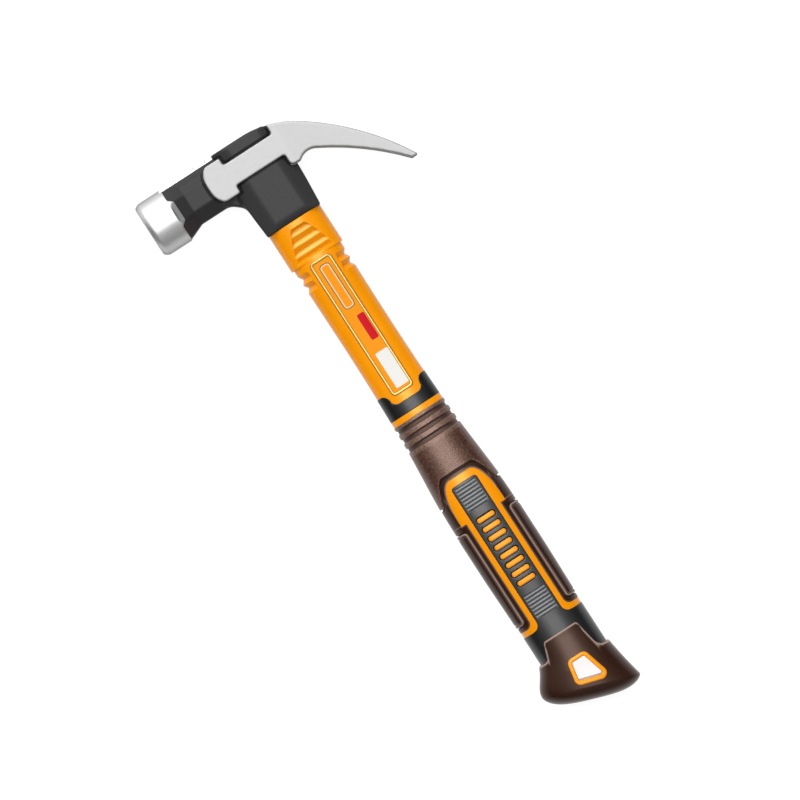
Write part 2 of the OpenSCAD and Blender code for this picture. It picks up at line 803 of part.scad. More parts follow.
// Sections of the butt, from above its edge; they tilt from square across the handle to its slanted end
function butt_sections() =
  let (body = [for (t = spread(-0.1, 1, 8)) let (flare = max(t, 0))
      [[-wrist_w / 2 - toe_flare * smooth(pow(flare, 1.6)), butt_y - toe_len * t],
        [wrist_w / 2 + heel_flare * pow(flare, 1.7), butt_y - heel_len * t],
        mix(wrist_d, butt_d, smooth(t / 0.7)) / 2]],
    end = body[len(body) - 1], across = end[1] - end[0], out = [across.y, -across.x] / norm(across),
    middle = (end[0] + end[1]) / 2)
  concat([for (b = body) section(b[0], b[1], b[2])],
    [for (s = [0.97, 0.92, 0.84, 0.72, 0.55, 0.3]) let (rise = dome_h * pow(1 - pow(s, 3.6), 0.62))
      section(middle + s * (end[0] - middle) + rise * out,
        middle + s * (end[1] - middle) + rise * out, s * end[2])]);

module butt_cap() {
  color("saddlebrown") on_floor() within() {
    difference() {
      skin(butt_sections());
      grip_body(butt_y + lap, core_end, soft_t);
      translate([0, 0, -through / 2]) linear_extrude(through) hole_outline(eyelet_t);
    }
    butt_zone();
  }
}

module hang_eyelet() {
  color("orange") on_floor() within() {
    skin(butt_sections());
    difference() {
      hole_outline(eyelet_t);
      hole_outline();
    }
  }
}

head();
nail_magnet();
epoxy_bond();
fibreglass_core();
shaft_jacket();
front_label();
grip_collar();
grip_sleeve();
grip_frame();
face_side_pad();
claw_side_pad();
grip_inlay();
butt_cap();
hang_eyelet();
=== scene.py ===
# %% [markdown]
# # A small claw hammer, dressed in Blender
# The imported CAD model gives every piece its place. This lesson replaces its plain solids with
# finished surfaces: a forged head, a moulded handle with soft grip pieces, and their materials.
# Each surface is worked out with numpy in the hammer's own millimetres and then moved into the
# frame of the CAD model, so that nothing has to be fitted by hand.

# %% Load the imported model
import math

import bmesh
import bpy
import numpy as np
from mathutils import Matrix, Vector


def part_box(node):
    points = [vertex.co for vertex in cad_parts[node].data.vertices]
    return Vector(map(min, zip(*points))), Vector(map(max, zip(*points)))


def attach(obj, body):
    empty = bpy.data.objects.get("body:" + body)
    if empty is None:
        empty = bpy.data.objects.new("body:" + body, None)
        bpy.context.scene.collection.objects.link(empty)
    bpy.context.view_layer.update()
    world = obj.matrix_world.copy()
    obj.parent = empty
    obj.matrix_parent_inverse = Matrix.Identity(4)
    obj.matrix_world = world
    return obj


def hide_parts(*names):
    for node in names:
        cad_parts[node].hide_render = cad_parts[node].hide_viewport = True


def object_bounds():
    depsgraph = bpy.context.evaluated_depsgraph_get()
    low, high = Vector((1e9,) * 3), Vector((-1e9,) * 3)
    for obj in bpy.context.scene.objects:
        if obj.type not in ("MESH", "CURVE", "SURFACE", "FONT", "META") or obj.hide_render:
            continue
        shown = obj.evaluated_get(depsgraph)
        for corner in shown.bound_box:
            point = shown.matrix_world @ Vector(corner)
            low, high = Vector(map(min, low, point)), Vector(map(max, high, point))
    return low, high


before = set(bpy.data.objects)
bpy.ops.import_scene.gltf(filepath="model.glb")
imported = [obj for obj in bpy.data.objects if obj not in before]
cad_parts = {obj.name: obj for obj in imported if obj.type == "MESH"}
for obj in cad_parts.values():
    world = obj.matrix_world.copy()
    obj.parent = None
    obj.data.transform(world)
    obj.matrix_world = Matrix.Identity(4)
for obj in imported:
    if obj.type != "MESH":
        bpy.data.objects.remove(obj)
cad_box = [list(corner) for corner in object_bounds()]
print("CAD nodes:", ", ".join(sorted(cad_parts)))

# %% [markdown]
# ## The hammer's own axes
# A maker measures a hammer from the lower edge of its head: x towards the claw, y up the handle,
# z out through the cheek. The CAD frame has its origin on the floor under the middle of the box.
# The striking face, the top of the head and the mid-plane of the box tie the two frames together,
# which is safer than typing an offset that could go stale.

# %% Millimetres of the hammer to metres of the row
FACE_REACH = 51.1
HEAD_H = 39.8
head_low, head_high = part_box("head")
ORIGIN = np.array([
    head_low.x * 1000 + FACE_REACH,
    head_high.y * 1000 - HEAD_H,
    (cad_box[0][2] + cad_box[1][2]) * 500,
])


def to_row(points):
    """Row frame in metres: hammer millimetres plus the offset of the two origins, over a thousand."""
    return (np.asarray(points) + ORIGIN) / 1000


print("offset of the hammer's axes in mm:", ORIGIN.round(3))

# %% [markdown]
# ## Small tools
# A surface is a grid of points with rows and columns. Neighbouring points make a quad, and a grid
# that goes right round joins its last column to its first. Putting whole arrays into the mesh keeps
# this quick even with a hundred thousand points.

# %% Grids and meshes


def quads_of(rows, columns, around=False, closed=False):
    """Corners of each cell of a grid: around joins the last column to the first, closed the last row."""
    i = np.arange(rows if closed else rows - 1)[:, None]
    j = np.arange(columns if around else columns - 1)
    below, beside = (i + 1) % rows * columns, (j + 1) % columns
    corners = [i * columns + j, i * columns + beside, below + beside, below + j]
    return np.stack(corners, -1).reshape(-1, 4)


def make_mesh(name, points, quads, marks, outward=False):
    """Mesh in the row frame with its doubles merged, and its faces turned outward if asked.
    Marks are numbers for each point that a material may ask for by name."""
    mesh = bpy.data.meshes.new(name)
    mesh.from_pydata(to_row(points.reshape(-1, 3)), [], quads.tolist())
    for mark, values in marks.items():
        mesh.attributes.new(mark, "FLOAT", "POINT").data.foreach_set("value", values.astype(np.float32))
    grid = bmesh.new()
    grid.from_mesh(mesh)
    bmesh.ops.remove_doubles(grid, verts=grid.verts, dist=1e-7)
    bmesh.ops.dissolve_degenerate(grid, edges=grid.edges, dist=1e-8)
    if outward:
        bmesh.ops.recalc_face_normals(grid, faces=grid.faces)
    grid.to_mesh(mesh)
    grid.free()
    return mesh


def add_object(name, data):
    """New object in the scene, with a mesh, a lamp or a camera as its data."""
    piece = bpy.data.objects.new(name, data)
    bpy.context.scene.collection.objects.link(piece)
    return piece


def make_piece(name, parts, stands_for=(), sharp=40):
    """One mesh from several (points, quads, marks) parts, riding on the hammer's only body. The first part
    names the marks."""
    starts = np.cumsum([0] + [p[..., 0].size for p, _, _ in parts[:-1]])
    points = np.concatenate([p.reshape(-1, 3) for p, _, _ in parts])
    quads = np.concatenate([q + start for (_, q, _), start in zip(parts, starts)])
    marks = {}
    for mark in parts[0][2]:
        marks[mark] = np.concatenate([np.broadcast_to(m[mark], p.shape[:-1]).ravel() for p, _, m in parts])
    mesh = make_mesh(name, points, quads, marks)
    mesh.shade_smooth()
    mesh.set_sharp_from_angle(angle=math.radians(sharp))
    piece = add_object(name, mesh)
    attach(piece, "root")
    if stands_for:
        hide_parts(*stands_for)
    print(f"{name}: {len(mesh.vertices)} points, {len(mesh.polygons)} faces")
    return piece


print("quads of a grid of 3 rows that goes right round in 4 columns:", len(quads_of(3, 4, around=True)))

# %% [markdown]
# ### Blends
# On a moulding nothing changes suddenly: one width runs into the next along a soft S. A curve drawn
# by hand could do that for one piece, but these three short functions serve them all.

# %% Blends and shares


def mix(a, b, t):
    """Straight blend from a to b."""
    return a + (b - a) * t


def smooth(t):
    """Soft step: 3t^2 - 2t^3 between 0 and 1, level outside."""
    t = np.clip(t, 0, 1)
    return t * t * (3 - 2 * t)


def part_of(value, start, end):
    """How far value has gone from start to end, as a share."""
    return (value - start) / (end - start)


print("a soft step, a quarter of the way along:", smooth(0.25))

# %% [markdown]
# ## The handle's form
# The handle is an oval, squared off a little, that swells from the shaft to the palm. One formula
# gives its width and depth at any height, and every moulded piece is a patch of that one surface,
# lifted or sunk. The patches therefore always meet, as they do in the real mould.

# %% Heights and sizes along the handle
SHOULDER_LEN = 16.5
COLLAR_Y = -78.3
RING_Y = -89.3
SLEEVE_Y = -91.5
RIBS_Y = -92.3
RIB_PITCH = 4.04
RIBS_END = RIBS_Y - 3 * RIB_PITCH
ARCH_Y = -118.5
FIELD_Y = -121.0
PANEL_Y = -124.0
STEP_Y = -139.3
PAD_Y, PAD_END = -141.8, -185.5
LEDGE_Y = -188.0
BAND_TOP = -190.0
BUTT_Y = -195.2
CORE_END = -203.2
WAIST_Y = 0.7 * COLLAR_Y
SWELL_Y = STEP_Y - 20


def along(y, shoulder, step, waist, ring, palm, wrist):
    """A handle size at height y: level shoulder, step down, waist, swell to the palm, fall to the wrist."""
    places = [y > -SHOULDER_LEN - 0.5, y > WAIST_Y, y > SLEEVE_Y, y > STEP_Y]
    sizes = [
        shoulder + 0 * y,
        mix(shoulder - step, waist, smooth(part_of(y, -SHOULDER_LEN, WAIST_Y))),
        mix(waist, ring, part_of(y, WAIST_Y, SLEEVE_Y) ** 2),
        mix(ring, palm, smooth(part_of(y, SLEEVE_Y, STEP_Y))),
    ]
    return np.select(places, sizes, mix(palm, wrist, smooth(part_of(y, SWELL_Y, BAND_TOP))))


def half_w(y):
    """Half the handle's width at height y; the shoulder ends in a step of one millimetre at each edge."""
    return along(y, 24.2, 2.0, 21.8, 23.0, 28.2, 27.4) / 2


def half_d(y):
    """Half the handle's depth at height y, without a step."""
    return along(y, 16.6, 0.0, 15.2, 17.4, 22.4, 21.8) / 2


print("handle width at the palm in mm:", 2 * half_w(np.array(STEP_Y)))

# %% [markdown]
# ### Sections of the handle
# Cut across, the handle is neither an ellipse nor a rectangle. A squared oval with a power of 2.5
# lies between the two. A loft of drawn curves would give the same outline, but the formula also
# gives the normal along which a relief is lifted, and the angle for a place in the front view.

# %% Squared ovals
SQUARENESS = 2.5
FRONT_HALF, FRONT_FADE = 11.5, 1.5


def signed_power(v, p):
    """|v| to the power p with the sign of v."""
    return np.sign(v) * np.abs(v) ** p


def on_handle(angle, y, lift):
    """Point of the squared oval |x/w|^n + |z/d|^n = 1 at height y, moved out along its normal by lift."""
    w, d = half_w(y), half_d(y)
    c, s = np.cos(angle), np.sin(angle)
    x, z = w * signed_power(c, 2 / SQUARENESS), d * signed_power(s, 2 / SQUARENESS)
    out_x = signed_power(c, 2 - 2 / SQUARENESS) / w
    out_z = signed_power(s, 2 - 2 / SQUARENESS) / d
    size = np.hypot(out_x, out_z)
    return np.stack([x + lift * out_x / size, y + 0 * x, z + lift * out_z / size], -1)


def angle_at(x, y):
    """Angle of the front point of the oval at distance x from the middle: the inverse of x = w cos^(2/n)."""
    return np.arccos(np.clip(signed_power(x / half_w(y), SQUARENESS / 2), -1, 1))


def even_angles(count, favour=1.0):
    """Angles that step evenly along the oval's outline, from the length of a finely drawn outline; front and
    back count as favour times as long as the edges, and so get that many more steps."""
    fine = np.linspace(0, 2 * np.pi, 4001)
    outline = on_handle(fine, np.full_like(fine, STEP_Y), 0)
    counts_as = mix(1, favour, smooth((FRONT_HALF - np.abs(outline[1:, 0])) / FRONT_FADE))
    steps = np.linalg.norm(np.diff(outline, axis=0), axis=1) * counts_as
    length = np.concatenate([[0], np.cumsum(steps)])
    return np.interp(np.linspace(0, length[-1], count, endpoint=False), length, fine)


ANGLES = even_angles(288)
print("steps round the handle:", len(ANGLES))

# %% [markdown]
# ## Edges and steps of a moulding
# Moulded edges are never sharp: they roll over in a small quarter circle. Each edge also marks a
# narrow line where the material paints a highlight, and grooves are marked as sunk, where it paints
# shade. The steps under the thumb are saw teeth with rounded tips. All are functions of a distance,
# and fit on any patch.

# %% Rolled edges and saw teeth
TIP_ROUNDING = 0.985


def quarter(distance, r):
    """Height of a quarter circle at a distance from its middle: r times the root of 1 - (distance / r)^2."""
    return r * np.sqrt(1 - np.clip(distance / r, 0, 1) ** 2)


def rolled(distance, radius):
    """Drop of a rolled edge: a quarter circle that ends level at radius from the edge."""
    return quarter(radius - distance, radius) - radius


def bell(distance, at, width):
    """Bell curve: e to the power of minus ((distance - at) / width)^2."""
    return np.exp(-(((distance - at) / width) ** 2))


def painted_highlight(distance, at=0.35, width=0.28, most=1.0):
    """Mark of a painted highlight along an edge: a bell curve over the distance from it, with the given
    height.
    """
    return {"painted_highlight": most * bell(distance, at, width)}


def saw(t, rise=0.5):
    """Saw tooth from 0 to 1 over the first share of each unit of t and back over the rest: the arc sine of
    a slightly lowered cosine, which rounds the tips."""
    t = t % 1
    phase = np.where(t < rise, t / (2 * rise), 0.5 + (t - rise) / (2 - 2 * rise))
    return 0.5 - np.arcsin(TIP_ROUNDING * np.cos(2 * np.pi * phase)) / (2 * math.asin(TIP_ROUNDING))


print("drop of a 0.45 mm edge, 0.1 mm in from it:", rolled(0.1, 0.45).round(3))

# %% [markdown]
# ## The amber jacket
# Polypropylene moulded over the glass-fibre core: the bare shaft with its stepped thumb rest, and
# under the soft pieces the ring and the frame that stay in sight. It is drawn as one surface right
# round the handle. The steps are part of its relief, with more rows where they lie.

# %% Outlines on the jacket
THUMB_Y, THUMB_END = -2.6, -15.8
THUMB_HALF = (3.0, 8.5)
TONGUE_HALF, TONGUE_R = 7.0, 2.85
FIELD_HALF = (4.5, 10.4)
FIELD_SIDE = 8.0
FIELD_TUCK = 0.8
PANEL_HALF = 6.0
FOOT_R = 3.0


def tongue_edge(x):
    """Lower edge of the bare shaft: level at the sides, with a tongue in the middle between two S curves."""
    far = np.abs(x)
    inner = quarter(far - TONGUE_HALF + TONGUE_R, TONGUE_R)
    outer = quarter(TONGUE_HALF + TONGUE_R - far, TONGUE_R)
    return COLLAR_Y - TONGUE_R + np.where(far < TONGUE_HALF, -inner, outer)


def thumb_inside(x, y):
    """Distance in from the thumb rest's arched outline, which widens with the 0.7th power of its length."""
    t = np.clip(part_of(y, THUMB_Y, THUMB_END), 0, 1)
    side = (mix(*THUMB_HALF, t**0.7) - np.abs(x)) * 0.85
    return np.minimum(side, np.minimum(THUMB_Y - y, y - THUMB_END))


def ledge_edge(x):
    """Lower edge of the brown frame: level at the sides, turning up in an arc beside the strips."""
    return LEDGE_Y + FOOT_R - quarter(FIELD_SIDE + FOOT_R - np.abs(x), FOOT_R)


def field_inside(x, y):
    """Distance in from the edge of the amber field: an arch, two strips beside the panel, two ledges below.
    The arch is as wide as it gets a little further down, because it goes on under the brown frame."""
    far = np.abs(x)
    t = np.sqrt(np.clip(part_of(y - FIELD_TUCK, FIELD_Y, STEP_Y), 0, 1))
    arch = np.minimum((mix(*FIELD_HALF, np.sin(np.pi / 2 * t)) - far) * 0.8, FIELD_Y - y)
    return np.where(y > STEP_Y, arch, np.maximum(FIELD_SIDE - far, ledge_edge(x) - y))


def panel_inside(x, y):
    """Distance in from the black panel's outline, without the flare at its foot."""
    return np.minimum(PANEL_HALF - np.abs(x), PANEL_Y - y)


print("width of the thumb rest in mm, top and foot:", 2 * THUMB_HALF[0], 2 * THUMB_HALF[1])

# %% [markdown]
# ### Steps and seats of the jacket
# The thumb presses on a stepped rest, each edge of the shaft has two steps for the fingers, and
# shallow seats hold the soft pieces. Each of them could be cut with a Boolean. As heights that are
# added up over the surface they leave no seams, and one number moves them.

# %% Relief of the jacket
THUMB_PITCH, TOOTH_RISE = 4.0, 0.42
FIRST_TOOTH = THUMB_Y - 1.25
SIDE_STEPS_Y, SIDE_STEPS_X = -19.9, 6.4
SIDE_PITCH = 4.0


def thumb_teeth(x, y):
    """Share of a point in the thumb rest, and its place in one tooth of the rest from 0 to 1."""
    return smooth(thumb_inside(x, y) / 0.9 + 0.2), (FIRST_TOOTH - y) / THUMB_PITCH % 1


def thumb_painted_highlight(x, y):
    """Painted highlight on the thumb rest: a soft hump over the rising face of each tooth."""
    in_rest, place = thumb_teeth(x, y)
    return in_rest * smooth(1 - np.abs(place / TOOTH_RISE - 0.5) / 0.6)


def shaft_relief(x, y):
    """Saw teeth inside the thumb rest and two at each side, a small roll at the head, and seats under the
    soft pieces, which start a little way in under their edges."""
    in_rest, place = thumb_teeth(x, y)
    thumb = -in_rest * (0.3 + 1.1 * (1 - saw(place, TOOTH_RISE)))
    among_steps = (y < SIDE_STEPS_Y) * (y > SIDE_STEPS_Y - 2 * SIDE_PITCH)
    at_sides = smooth((np.abs(x) - SIDE_STEPS_X) / 0.7) * among_steps
    sides = -1.3 * at_sides * saw((SIDE_STEPS_Y - y) / SIDE_PITCH)
    seat = -0.4 * smooth((tongue_edge(x) - 0.4 - y) / 0.8)
    ring = 1.3 * smooth((y - SLEEVE_Y + 0.8) / 0.5) * smooth((RING_Y + 0.8 - y) / 0.5)
    field = 1.1 * smooth(field_inside(x, y) / 0.5 + 2.2) * smooth(2 - panel_inside(x, y) / 0.5)
    return thumb + sides + rolled(-y, 0.35) + np.where(y > RING_Y + 1, seat, np.maximum(ring, field) - 1.25)


thumb_line = np.linspace(THUMB_END, THUMB_Y, 200)
print("deepest point of the thumb rest in mm:", shaft_relief(0.0, thumb_line).min().round(2))

# %% [markdown]
# ### Skin of the jacket
# The jacket is hollow, because the core runs through it. A tube with a Solidify modifier would have
# a wall of one thickness. Here the rows run down the outside and come back up the bore, which has
# the core's outline, so the jacket is one closed body.

# %% Jacket surface
CORE_R, CORE_REACH = 4.7, 3.8
OUTSIDE_Z = 5.0


def core_outline(angle):
    """Outline of the core: two half circles whose middles lie CORE_REACH to either side of the axis."""
    c, s = np.cos(angle), np.sin(angle)
    return CORE_REACH * np.clip(6 * c, -1, 1) + CORE_R * c, CORE_R * s


def jacket():
    """Rows down the outside of the handle, closer where it has relief, then two rows back up the bore.
    Each stretch has its start, its end and its number of rows."""
    stretches = [(0, -29, 160), (-30, -77, 26), (-77.6, -93, 44), (-95, -118, 10), (-119, -141, 48),
                 (-143, -183, 18), (-183.6, -192, 18), (-193, CORE_END, 5)]
    y = np.concatenate([np.linspace(*stretch) for stretch in stretches])[:, None]
    angles = even_angles(288, favour=1.9)
    base = on_handle(angles, y, 0)
    outside = on_handle(angles, y, shaft_relief(base[..., 0], base[..., 1]))
    bore_x, bore_z = core_outline(angles)
    bore = [np.stack([bore_x, np.full_like(bore_x, end), bore_z], -1) for end in (CORE_END, 0.0)]
    points = np.concatenate([outside, np.stack(bore)])
    x, y, z = np.moveaxis(points, -1, 0)
    # Painted highlight on the rising faces of the thumb rest's teeth, on the outside only.
    marks = {"painted_highlight": thumb_painted_highlight(x, y) * (np.abs(z) > OUTSIDE_Z)}
    return points, quads_of(*points.shape[:2], around=True, closed=True), marks


shaft_jacket = make_piece("shaft_jacket.amber", [jacket()], ["shaft_jacket"])

# %% [markdown]
# ## Soft rings
# Collar, sleeve and the arch of the grip go right round the handle between two edge curves. Cut from
# a tube with a Boolean they would have ragged rows. Here the rows of each ring follow its two edges
# and crowd together where these roll over.

# %% Rings between two curves


def slope_of(curve, x):
    """Steepness of a curve of the front view, measured over a tenth of a millimetre."""
    return (curve(x + 0.05) - curve(x - 0.05)) / 0.1


def fine_ends(count, margin=0.06):
    """Shares from 0 to 1 that crowd together near both ends, where the edges roll over."""
    t = np.linspace(0, 1, count)
    return mix(t, smooth(t), 1 - margin)


def handle_ring(top, low, shares, relief, edge=0.45, depth=1.4):
    """Closed soft ring between two curves of the front view.
    Rows follow the curves at the given shares, relief lifts them, both edges roll over, and one more
    row at each edge lies depth under the surface, where the ring closes on itself."""
    y_top, y_low = np.full_like(ANGLES, COLLAR_Y), np.full_like(ANGLES, STEP_Y)
    for _ in range(4):
        y_top = top(on_handle(ANGLES, y_top, 0)[:, 0])
        y_low = low(on_handle(ANGLES, y_low, 0)[:, 0])
    y = mix(y_top, y_low, np.concatenate([[0], shares, [1]])[:, None])
    x = on_handle(ANGLES, y, 0)[..., 0]
    to_top = (y_top - y) / np.hypot(1, slope_of(top, x))
    to_low = (y - y_low) / np.hypot(1, slope_of(low, x))
    to_edge = np.minimum(to_top, to_low)
    lift = relief(x, y) + rolled(to_edge, edge)
    lift[0] = lift[-1] = -depth
    # Both edges get the mark of a painted highlight.
    return on_handle(ANGLES, y, lift), quads_of(*y.shape, around=True, closed=True), painted_highlight(to_edge)


print("seven rows between two edges:", fine_ends(7).round(3))

# %% [markdown]
# ## Collar and sleeve
# Two soft rings. The black collar takes the tongue of the shaft into its upper edge. The brown
# sleeve starts with ribs between three channels and ends in an arch that falls towards the edges of
# the handle. Each ring is one grid between its two edge curves. The ribs get a painted highlight and
# the channels painted shade.

# %% Collar and sleeve
ARCH_RISE = 10.6
ARCH_CROWN, ARCH_SIDE = 6.5, 12.1


def arch_edge(x):
    """Lower edge of the sleeve: level crown, a parabola down to the sides, then level round the edge."""
    t = np.clip(part_of(np.abs(x), ARCH_CROWN, ARCH_SIDE), 0, 1)
    return ARCH_Y - ARCH_RISE * t**2


def level(height):
    """A level edge curve at one height."""
    return lambda x: height + 0 * x


def channel(y):
    """Share of a channel between two ribs: it takes up about half of each pitch, with sloping walls."""
    off_middle = np.abs((RIBS_Y - y) / RIB_PITCH % 1 - 0.43)
    return (y < RIBS_Y) * (y > RIBS_END) * smooth((0.32 - off_middle) / 0.2)


def collar_relief(x, y):
    """Level, a little proud of the shaft."""
    return 0.15 + 0 * x


def sleeve_relief(x, y):
    """Three channels below the ring with level ribs between them, then a plain swell."""
    return 0.25 - 0.7 * channel(y)


points, quads, _ = handle_ring(tongue_edge, level(RING_Y), fine_ends(56), collar_relief)
grip_collar = make_piece("grip_collar.black", [(points, quads, {})], ["grip_collar"])

plain_rows = smooth(np.linspace(0.02, 1, 50) * 0.5 + 0.5) * 2 - 1
sleeve_rows = np.concatenate([np.linspace(0, 0.5, 170), mix(0.5, 1, plain_rows)])
points, quads, marks = handle_ring(level(SLEEVE_Y), arch_edge, sleeve_rows, sleeve_relief)
height = points[..., 1]
# Painted highlight on the level treads and faintly along the edges, painted shade in the channels.
among_ribs = smooth((RIBS_Y + 1.2 - height) / 0.8) * smooth((height - RIBS_END + 1) / 1.0)
marks["painted_highlight"] = np.maximum(0.15 * marks["painted_highlight"], 0.22 * (1 - channel(height)) * among_ribs)
marks["sunk"] = channel(height)
grip_sleeve = make_piece("grip_sleeve.brown", [(points, quads, marks)], ["grip_sleeve"])

# %% [markdown]
# ## Soft patches
# Pads, panels and trays go only part of the way round. Each is a grid over the front, the back or an
# edge of the handle, on the same surface as the rings. Its border dips under that surface and is
# closed below, because a sheet without a back has no inside.

# %% Patches that do not go right round


def straight_back(rows, columns):
    """Quads that close a patch straight across: from border to border at each step down, and at both ends
    between mirrored points of the row."""
    i = np.arange(rows - 1) * columns
    across = np.stack([i, i + columns, i + 2 * columns - 1, i + columns - 1], -1)
    j = np.arange(columns // 2 - 1)
    end = np.stack([j + 1, j, columns - 1 - j, columns - 2 - j], -1)
    return np.concatenate([across, end, end[:, ::-1] + (rows - 1) * columns])


def handle_patch(angle, y, lift, marks, depth=1.2, hollow=True):
    """Closed patch: an outer sheet whose border lies depth down, and an inner sheet that meets it there,
    or a straight back if it isn't hollow."""
    outer = lift.copy()
    outer[0] = outer[-1] = -depth
    outer[:, 0] = outer[:, -1] = -depth
    quads = quads_of(*y.shape)
    if not hollow:
        return [(on_handle(angle, y, outer), np.concatenate([quads, straight_back(*y.shape)]), marks)]
    return [
        (on_handle(angle, y, outer), quads, marks),
        (on_handle(angle, y, np.full_like(y, -depth)), quads[:, ::-1], marks),
    ]


def front_grid(half_width, y, columns, back=False):
    """Grid of a patch on the front or the back: each row runs from its right to its left edge, crowded near
    both. Gives its angles and its places in the front view."""
    x = half_width[:, None] * (1 - 2 * fine_ends(columns))
    y = y[:, None] + 0 * x
    angle = angle_at(x, y)
    return (-angle[:, ::-1] if back else angle), x, y


def edge_grid(inset, y, columns, side):
    """Angles of a patch round one edge of the handle, from inset on the back to inset on the front."""
    across = 2 * fine_ends(columns) - 1
    y = y[:, None] + 0 * across
    angle = angle_at(inset[:, None] + 0 * y, y) * across
    return (angle if side > 0 else np.pi + angle), y


def crowded(start, end, count):
    """Heights from start to end that crowd near both ends."""
    return mix(start, end, fine_ends(count))


print("quads that close a patch of 4 by 6 points straight across:", len(straight_back(4, 6)))

# %% [markdown]
# ## The brown frame of the grip
# Below the groove the brown elastomer arches over the amber field and runs down both edges of the
# handle. The arch is one more ring, whose lower edge follows the field. The two trays below it are
# patches that wrap round an edge of the handle, with a sunk bed for the side pads.

# %% Frame of the grip
PAD_INSET, PAD_R = 10.0, 1.6
GROOVE = 0.8
LIP_TUCK = 0.9
TRAY_Y, TRAY_TOP_HALF = -139.0, 10.6
TRAY_EVEN = (-144.0, -183.0)


def field_edge(x):
    """Lower edge of the brown arch: the amber field's outline, inverted to a height for each x."""
    share = np.clip(part_of(np.abs(x), *FIELD_HALF), 0, 1)
    return mix(FIELD_Y, STEP_Y, (np.arcsin(share) / (np.pi / 2)) ** 2)


def groove_edge(x):
    """Upper end of the brown arch, hidden under the sleeve."""
    return arch_edge(x) + LIP_TUCK


def in_groove(x, y):
    """Share of the arched groove: the frame's lip below and under the sleeve's edge."""
    return smooth((y - arch_edge(x) + GROOVE) / 0.35 + 0.5)


def arch_relief(x, y):
    """Flush surface with a sunk lip under the sleeve, which makes the floor of the arched groove."""
    return -0.8 * in_groove(x, y)


def in_corner(out_x, out_y, r):
    """Distance in from two edges and the arc of radius r between them; out_x and out_y run outwards from
    the middle of the arc."""
    corner = np.hypot(np.maximum(out_x, 0), np.maximum(out_y, 0))
    return r - corner - np.minimum(np.maximum(out_x, out_y), 0)


def pad_inside(x, y, grow=0.0):
    """Distance in from a pad's outline, a rounded rectangle that runs off over the handle's edge."""
    out_y = np.abs(y - (PAD_Y + PAD_END) / 2) - (PAD_Y - PAD_END) / 2
    return in_corner(PAD_INSET - grow + PAD_R - np.abs(x), out_y - grow + PAD_R, PAD_R)


def tray(side):
    """Brown edge of the grip beside the field, with a bed sunk round the pad's outline. Its rows step evenly
    in the middle and crowd near both ends."""
    upper, lower = crowded(TRAY_Y, TRAY_EVEN[0] + 0.5, 40), crowded(TRAY_EVEN[1] - 0.5, LEDGE_Y, 40)
    y = np.concatenate([upper, np.linspace(*TRAY_EVEN, 40), lower])
    turn_x, turn_y = FIELD_SIDE + FOOT_R, LEDGE_Y + FOOT_R
    angle, y = edge_grid(turn_x - quarter(turn_y - y, FOOT_R), y, 90, side)
    x = on_handle(angle, y, 0)[..., 0]
    far = np.abs(x)
    round_foot = FOOT_R - np.hypot(turn_x - far, turn_y - y)
    straight = np.minimum(far - FIELD_SIDE, y - LEDGE_Y)
    to_edge = np.where((far < turn_x) & (y < turn_y), round_foot, straight)
    to_edge = np.where(far < TRAY_TOP_HALF, np.minimum(to_edge, TRAY_Y - y), to_edge)
    to_edge = np.clip(to_edge, 0, None)
    bed = smooth(pad_inside(x, y, grow=GROOVE / 2) / 0.3 + 0.5)
    # Painted highlight along the rolled edge, painted shade in the bed round the pad.
    marks = {**painted_highlight(to_edge, most=0.2), "sunk": bed}
    return handle_patch(angle, y, rolled(to_edge, 0.45) - 0.7 * bed, marks)


points, quads, marks = handle_ring(groove_edge, field_edge, fine_ends(72), arch_relief)
# Painted highlight along the arch's edges, painted shade in the groove under the sleeve.
marks = {"painted_highlight": 0.6 * marks["painted_highlight"], "sunk": in_groove(points[..., 0], points[..., 1])}
frame_parts = [(points, quads, marks), *tray(1), *tray(-1)]
grip_frame = make_piece("grip_frame.brown", frame_parts, ["grip_frame"])

# %% [markdown]
# ## Side pads
# Each edge of the grip has a slightly raised soft pad with rounded corners. It is a patch round the
# edge of the handle whose border rolls over into its bed; a fine groove sets off a bead along the border.

# %% Side pads
BEAD_W = 1.35


def round_end(y, top, low, r):
    """How far the corners at top and low, of radius r, narrow a rounded rectangle at height y."""
    return r - quarter(r - np.minimum(top - y, y - low), r)


def pad(side):
    """Pad with a rolled border: rows shorten at both ends with the corner radius."""
    y = np.concatenate([crowded(PAD_Y, PAD_Y - 4, 30)[:-1], crowded(PAD_Y - 4, PAD_END, 90)])
    angle, y = edge_grid(PAD_INSET + round_end(y, PAD_Y, PAD_END, PAD_R), y, 84, side)
    inside = np.clip(pad_inside(on_handle(angle, y, 0)[..., 0], y), 0, None)
    lift = 0.3 + rolled(inside, 0.5) - 0.3 * bell(inside, BEAD_W, 0.3)
    # Painted highlight along the rolled border.
    return handle_patch(angle, y, lift, painted_highlight(inside, 0.3, 0.3, most=0.8))


claw_side_pad = make_piece("claw_side_pad.brown", pad(1), ["claw_side_pad"])
face_side_pad = make_piece("face_side_pad.brown", pad(-1), ["face_side_pad"])

# %% [markdown]
# ## The black inlay
# A long panel on the front and on the back, each with a louvred block at both ends, runs down into
# a band round the handle. The panel's foot flares out into the band with the same radius as the
# frame beside it. Eight plain amber index bars show through the panel between the blocks.

# %% Louvres and gaps
LOUVRE_HALF, LOUVRE_LEN, LOUVRE_COUNT = 4.7, 10.5, 7
BLOCKS = (-130.45, -181.15)
BARS_Y, BAR_PITCH, BAR_COUNT = -138.8, 4.25, 8
BARS = [BARS_Y - BAR_PITCH * (i + 0.5) for i in range(BAR_COUNT)]
BAR_HALF, BAR_R = (4.0, 1.06), 0.9


def block_inside(x, y, half_width, half_length, middle, r):
    """Distance in from a rounded rectangle of the front view."""
    return in_corner(np.abs(x) - half_width + r, np.abs(y - middle) - half_length + r, r)


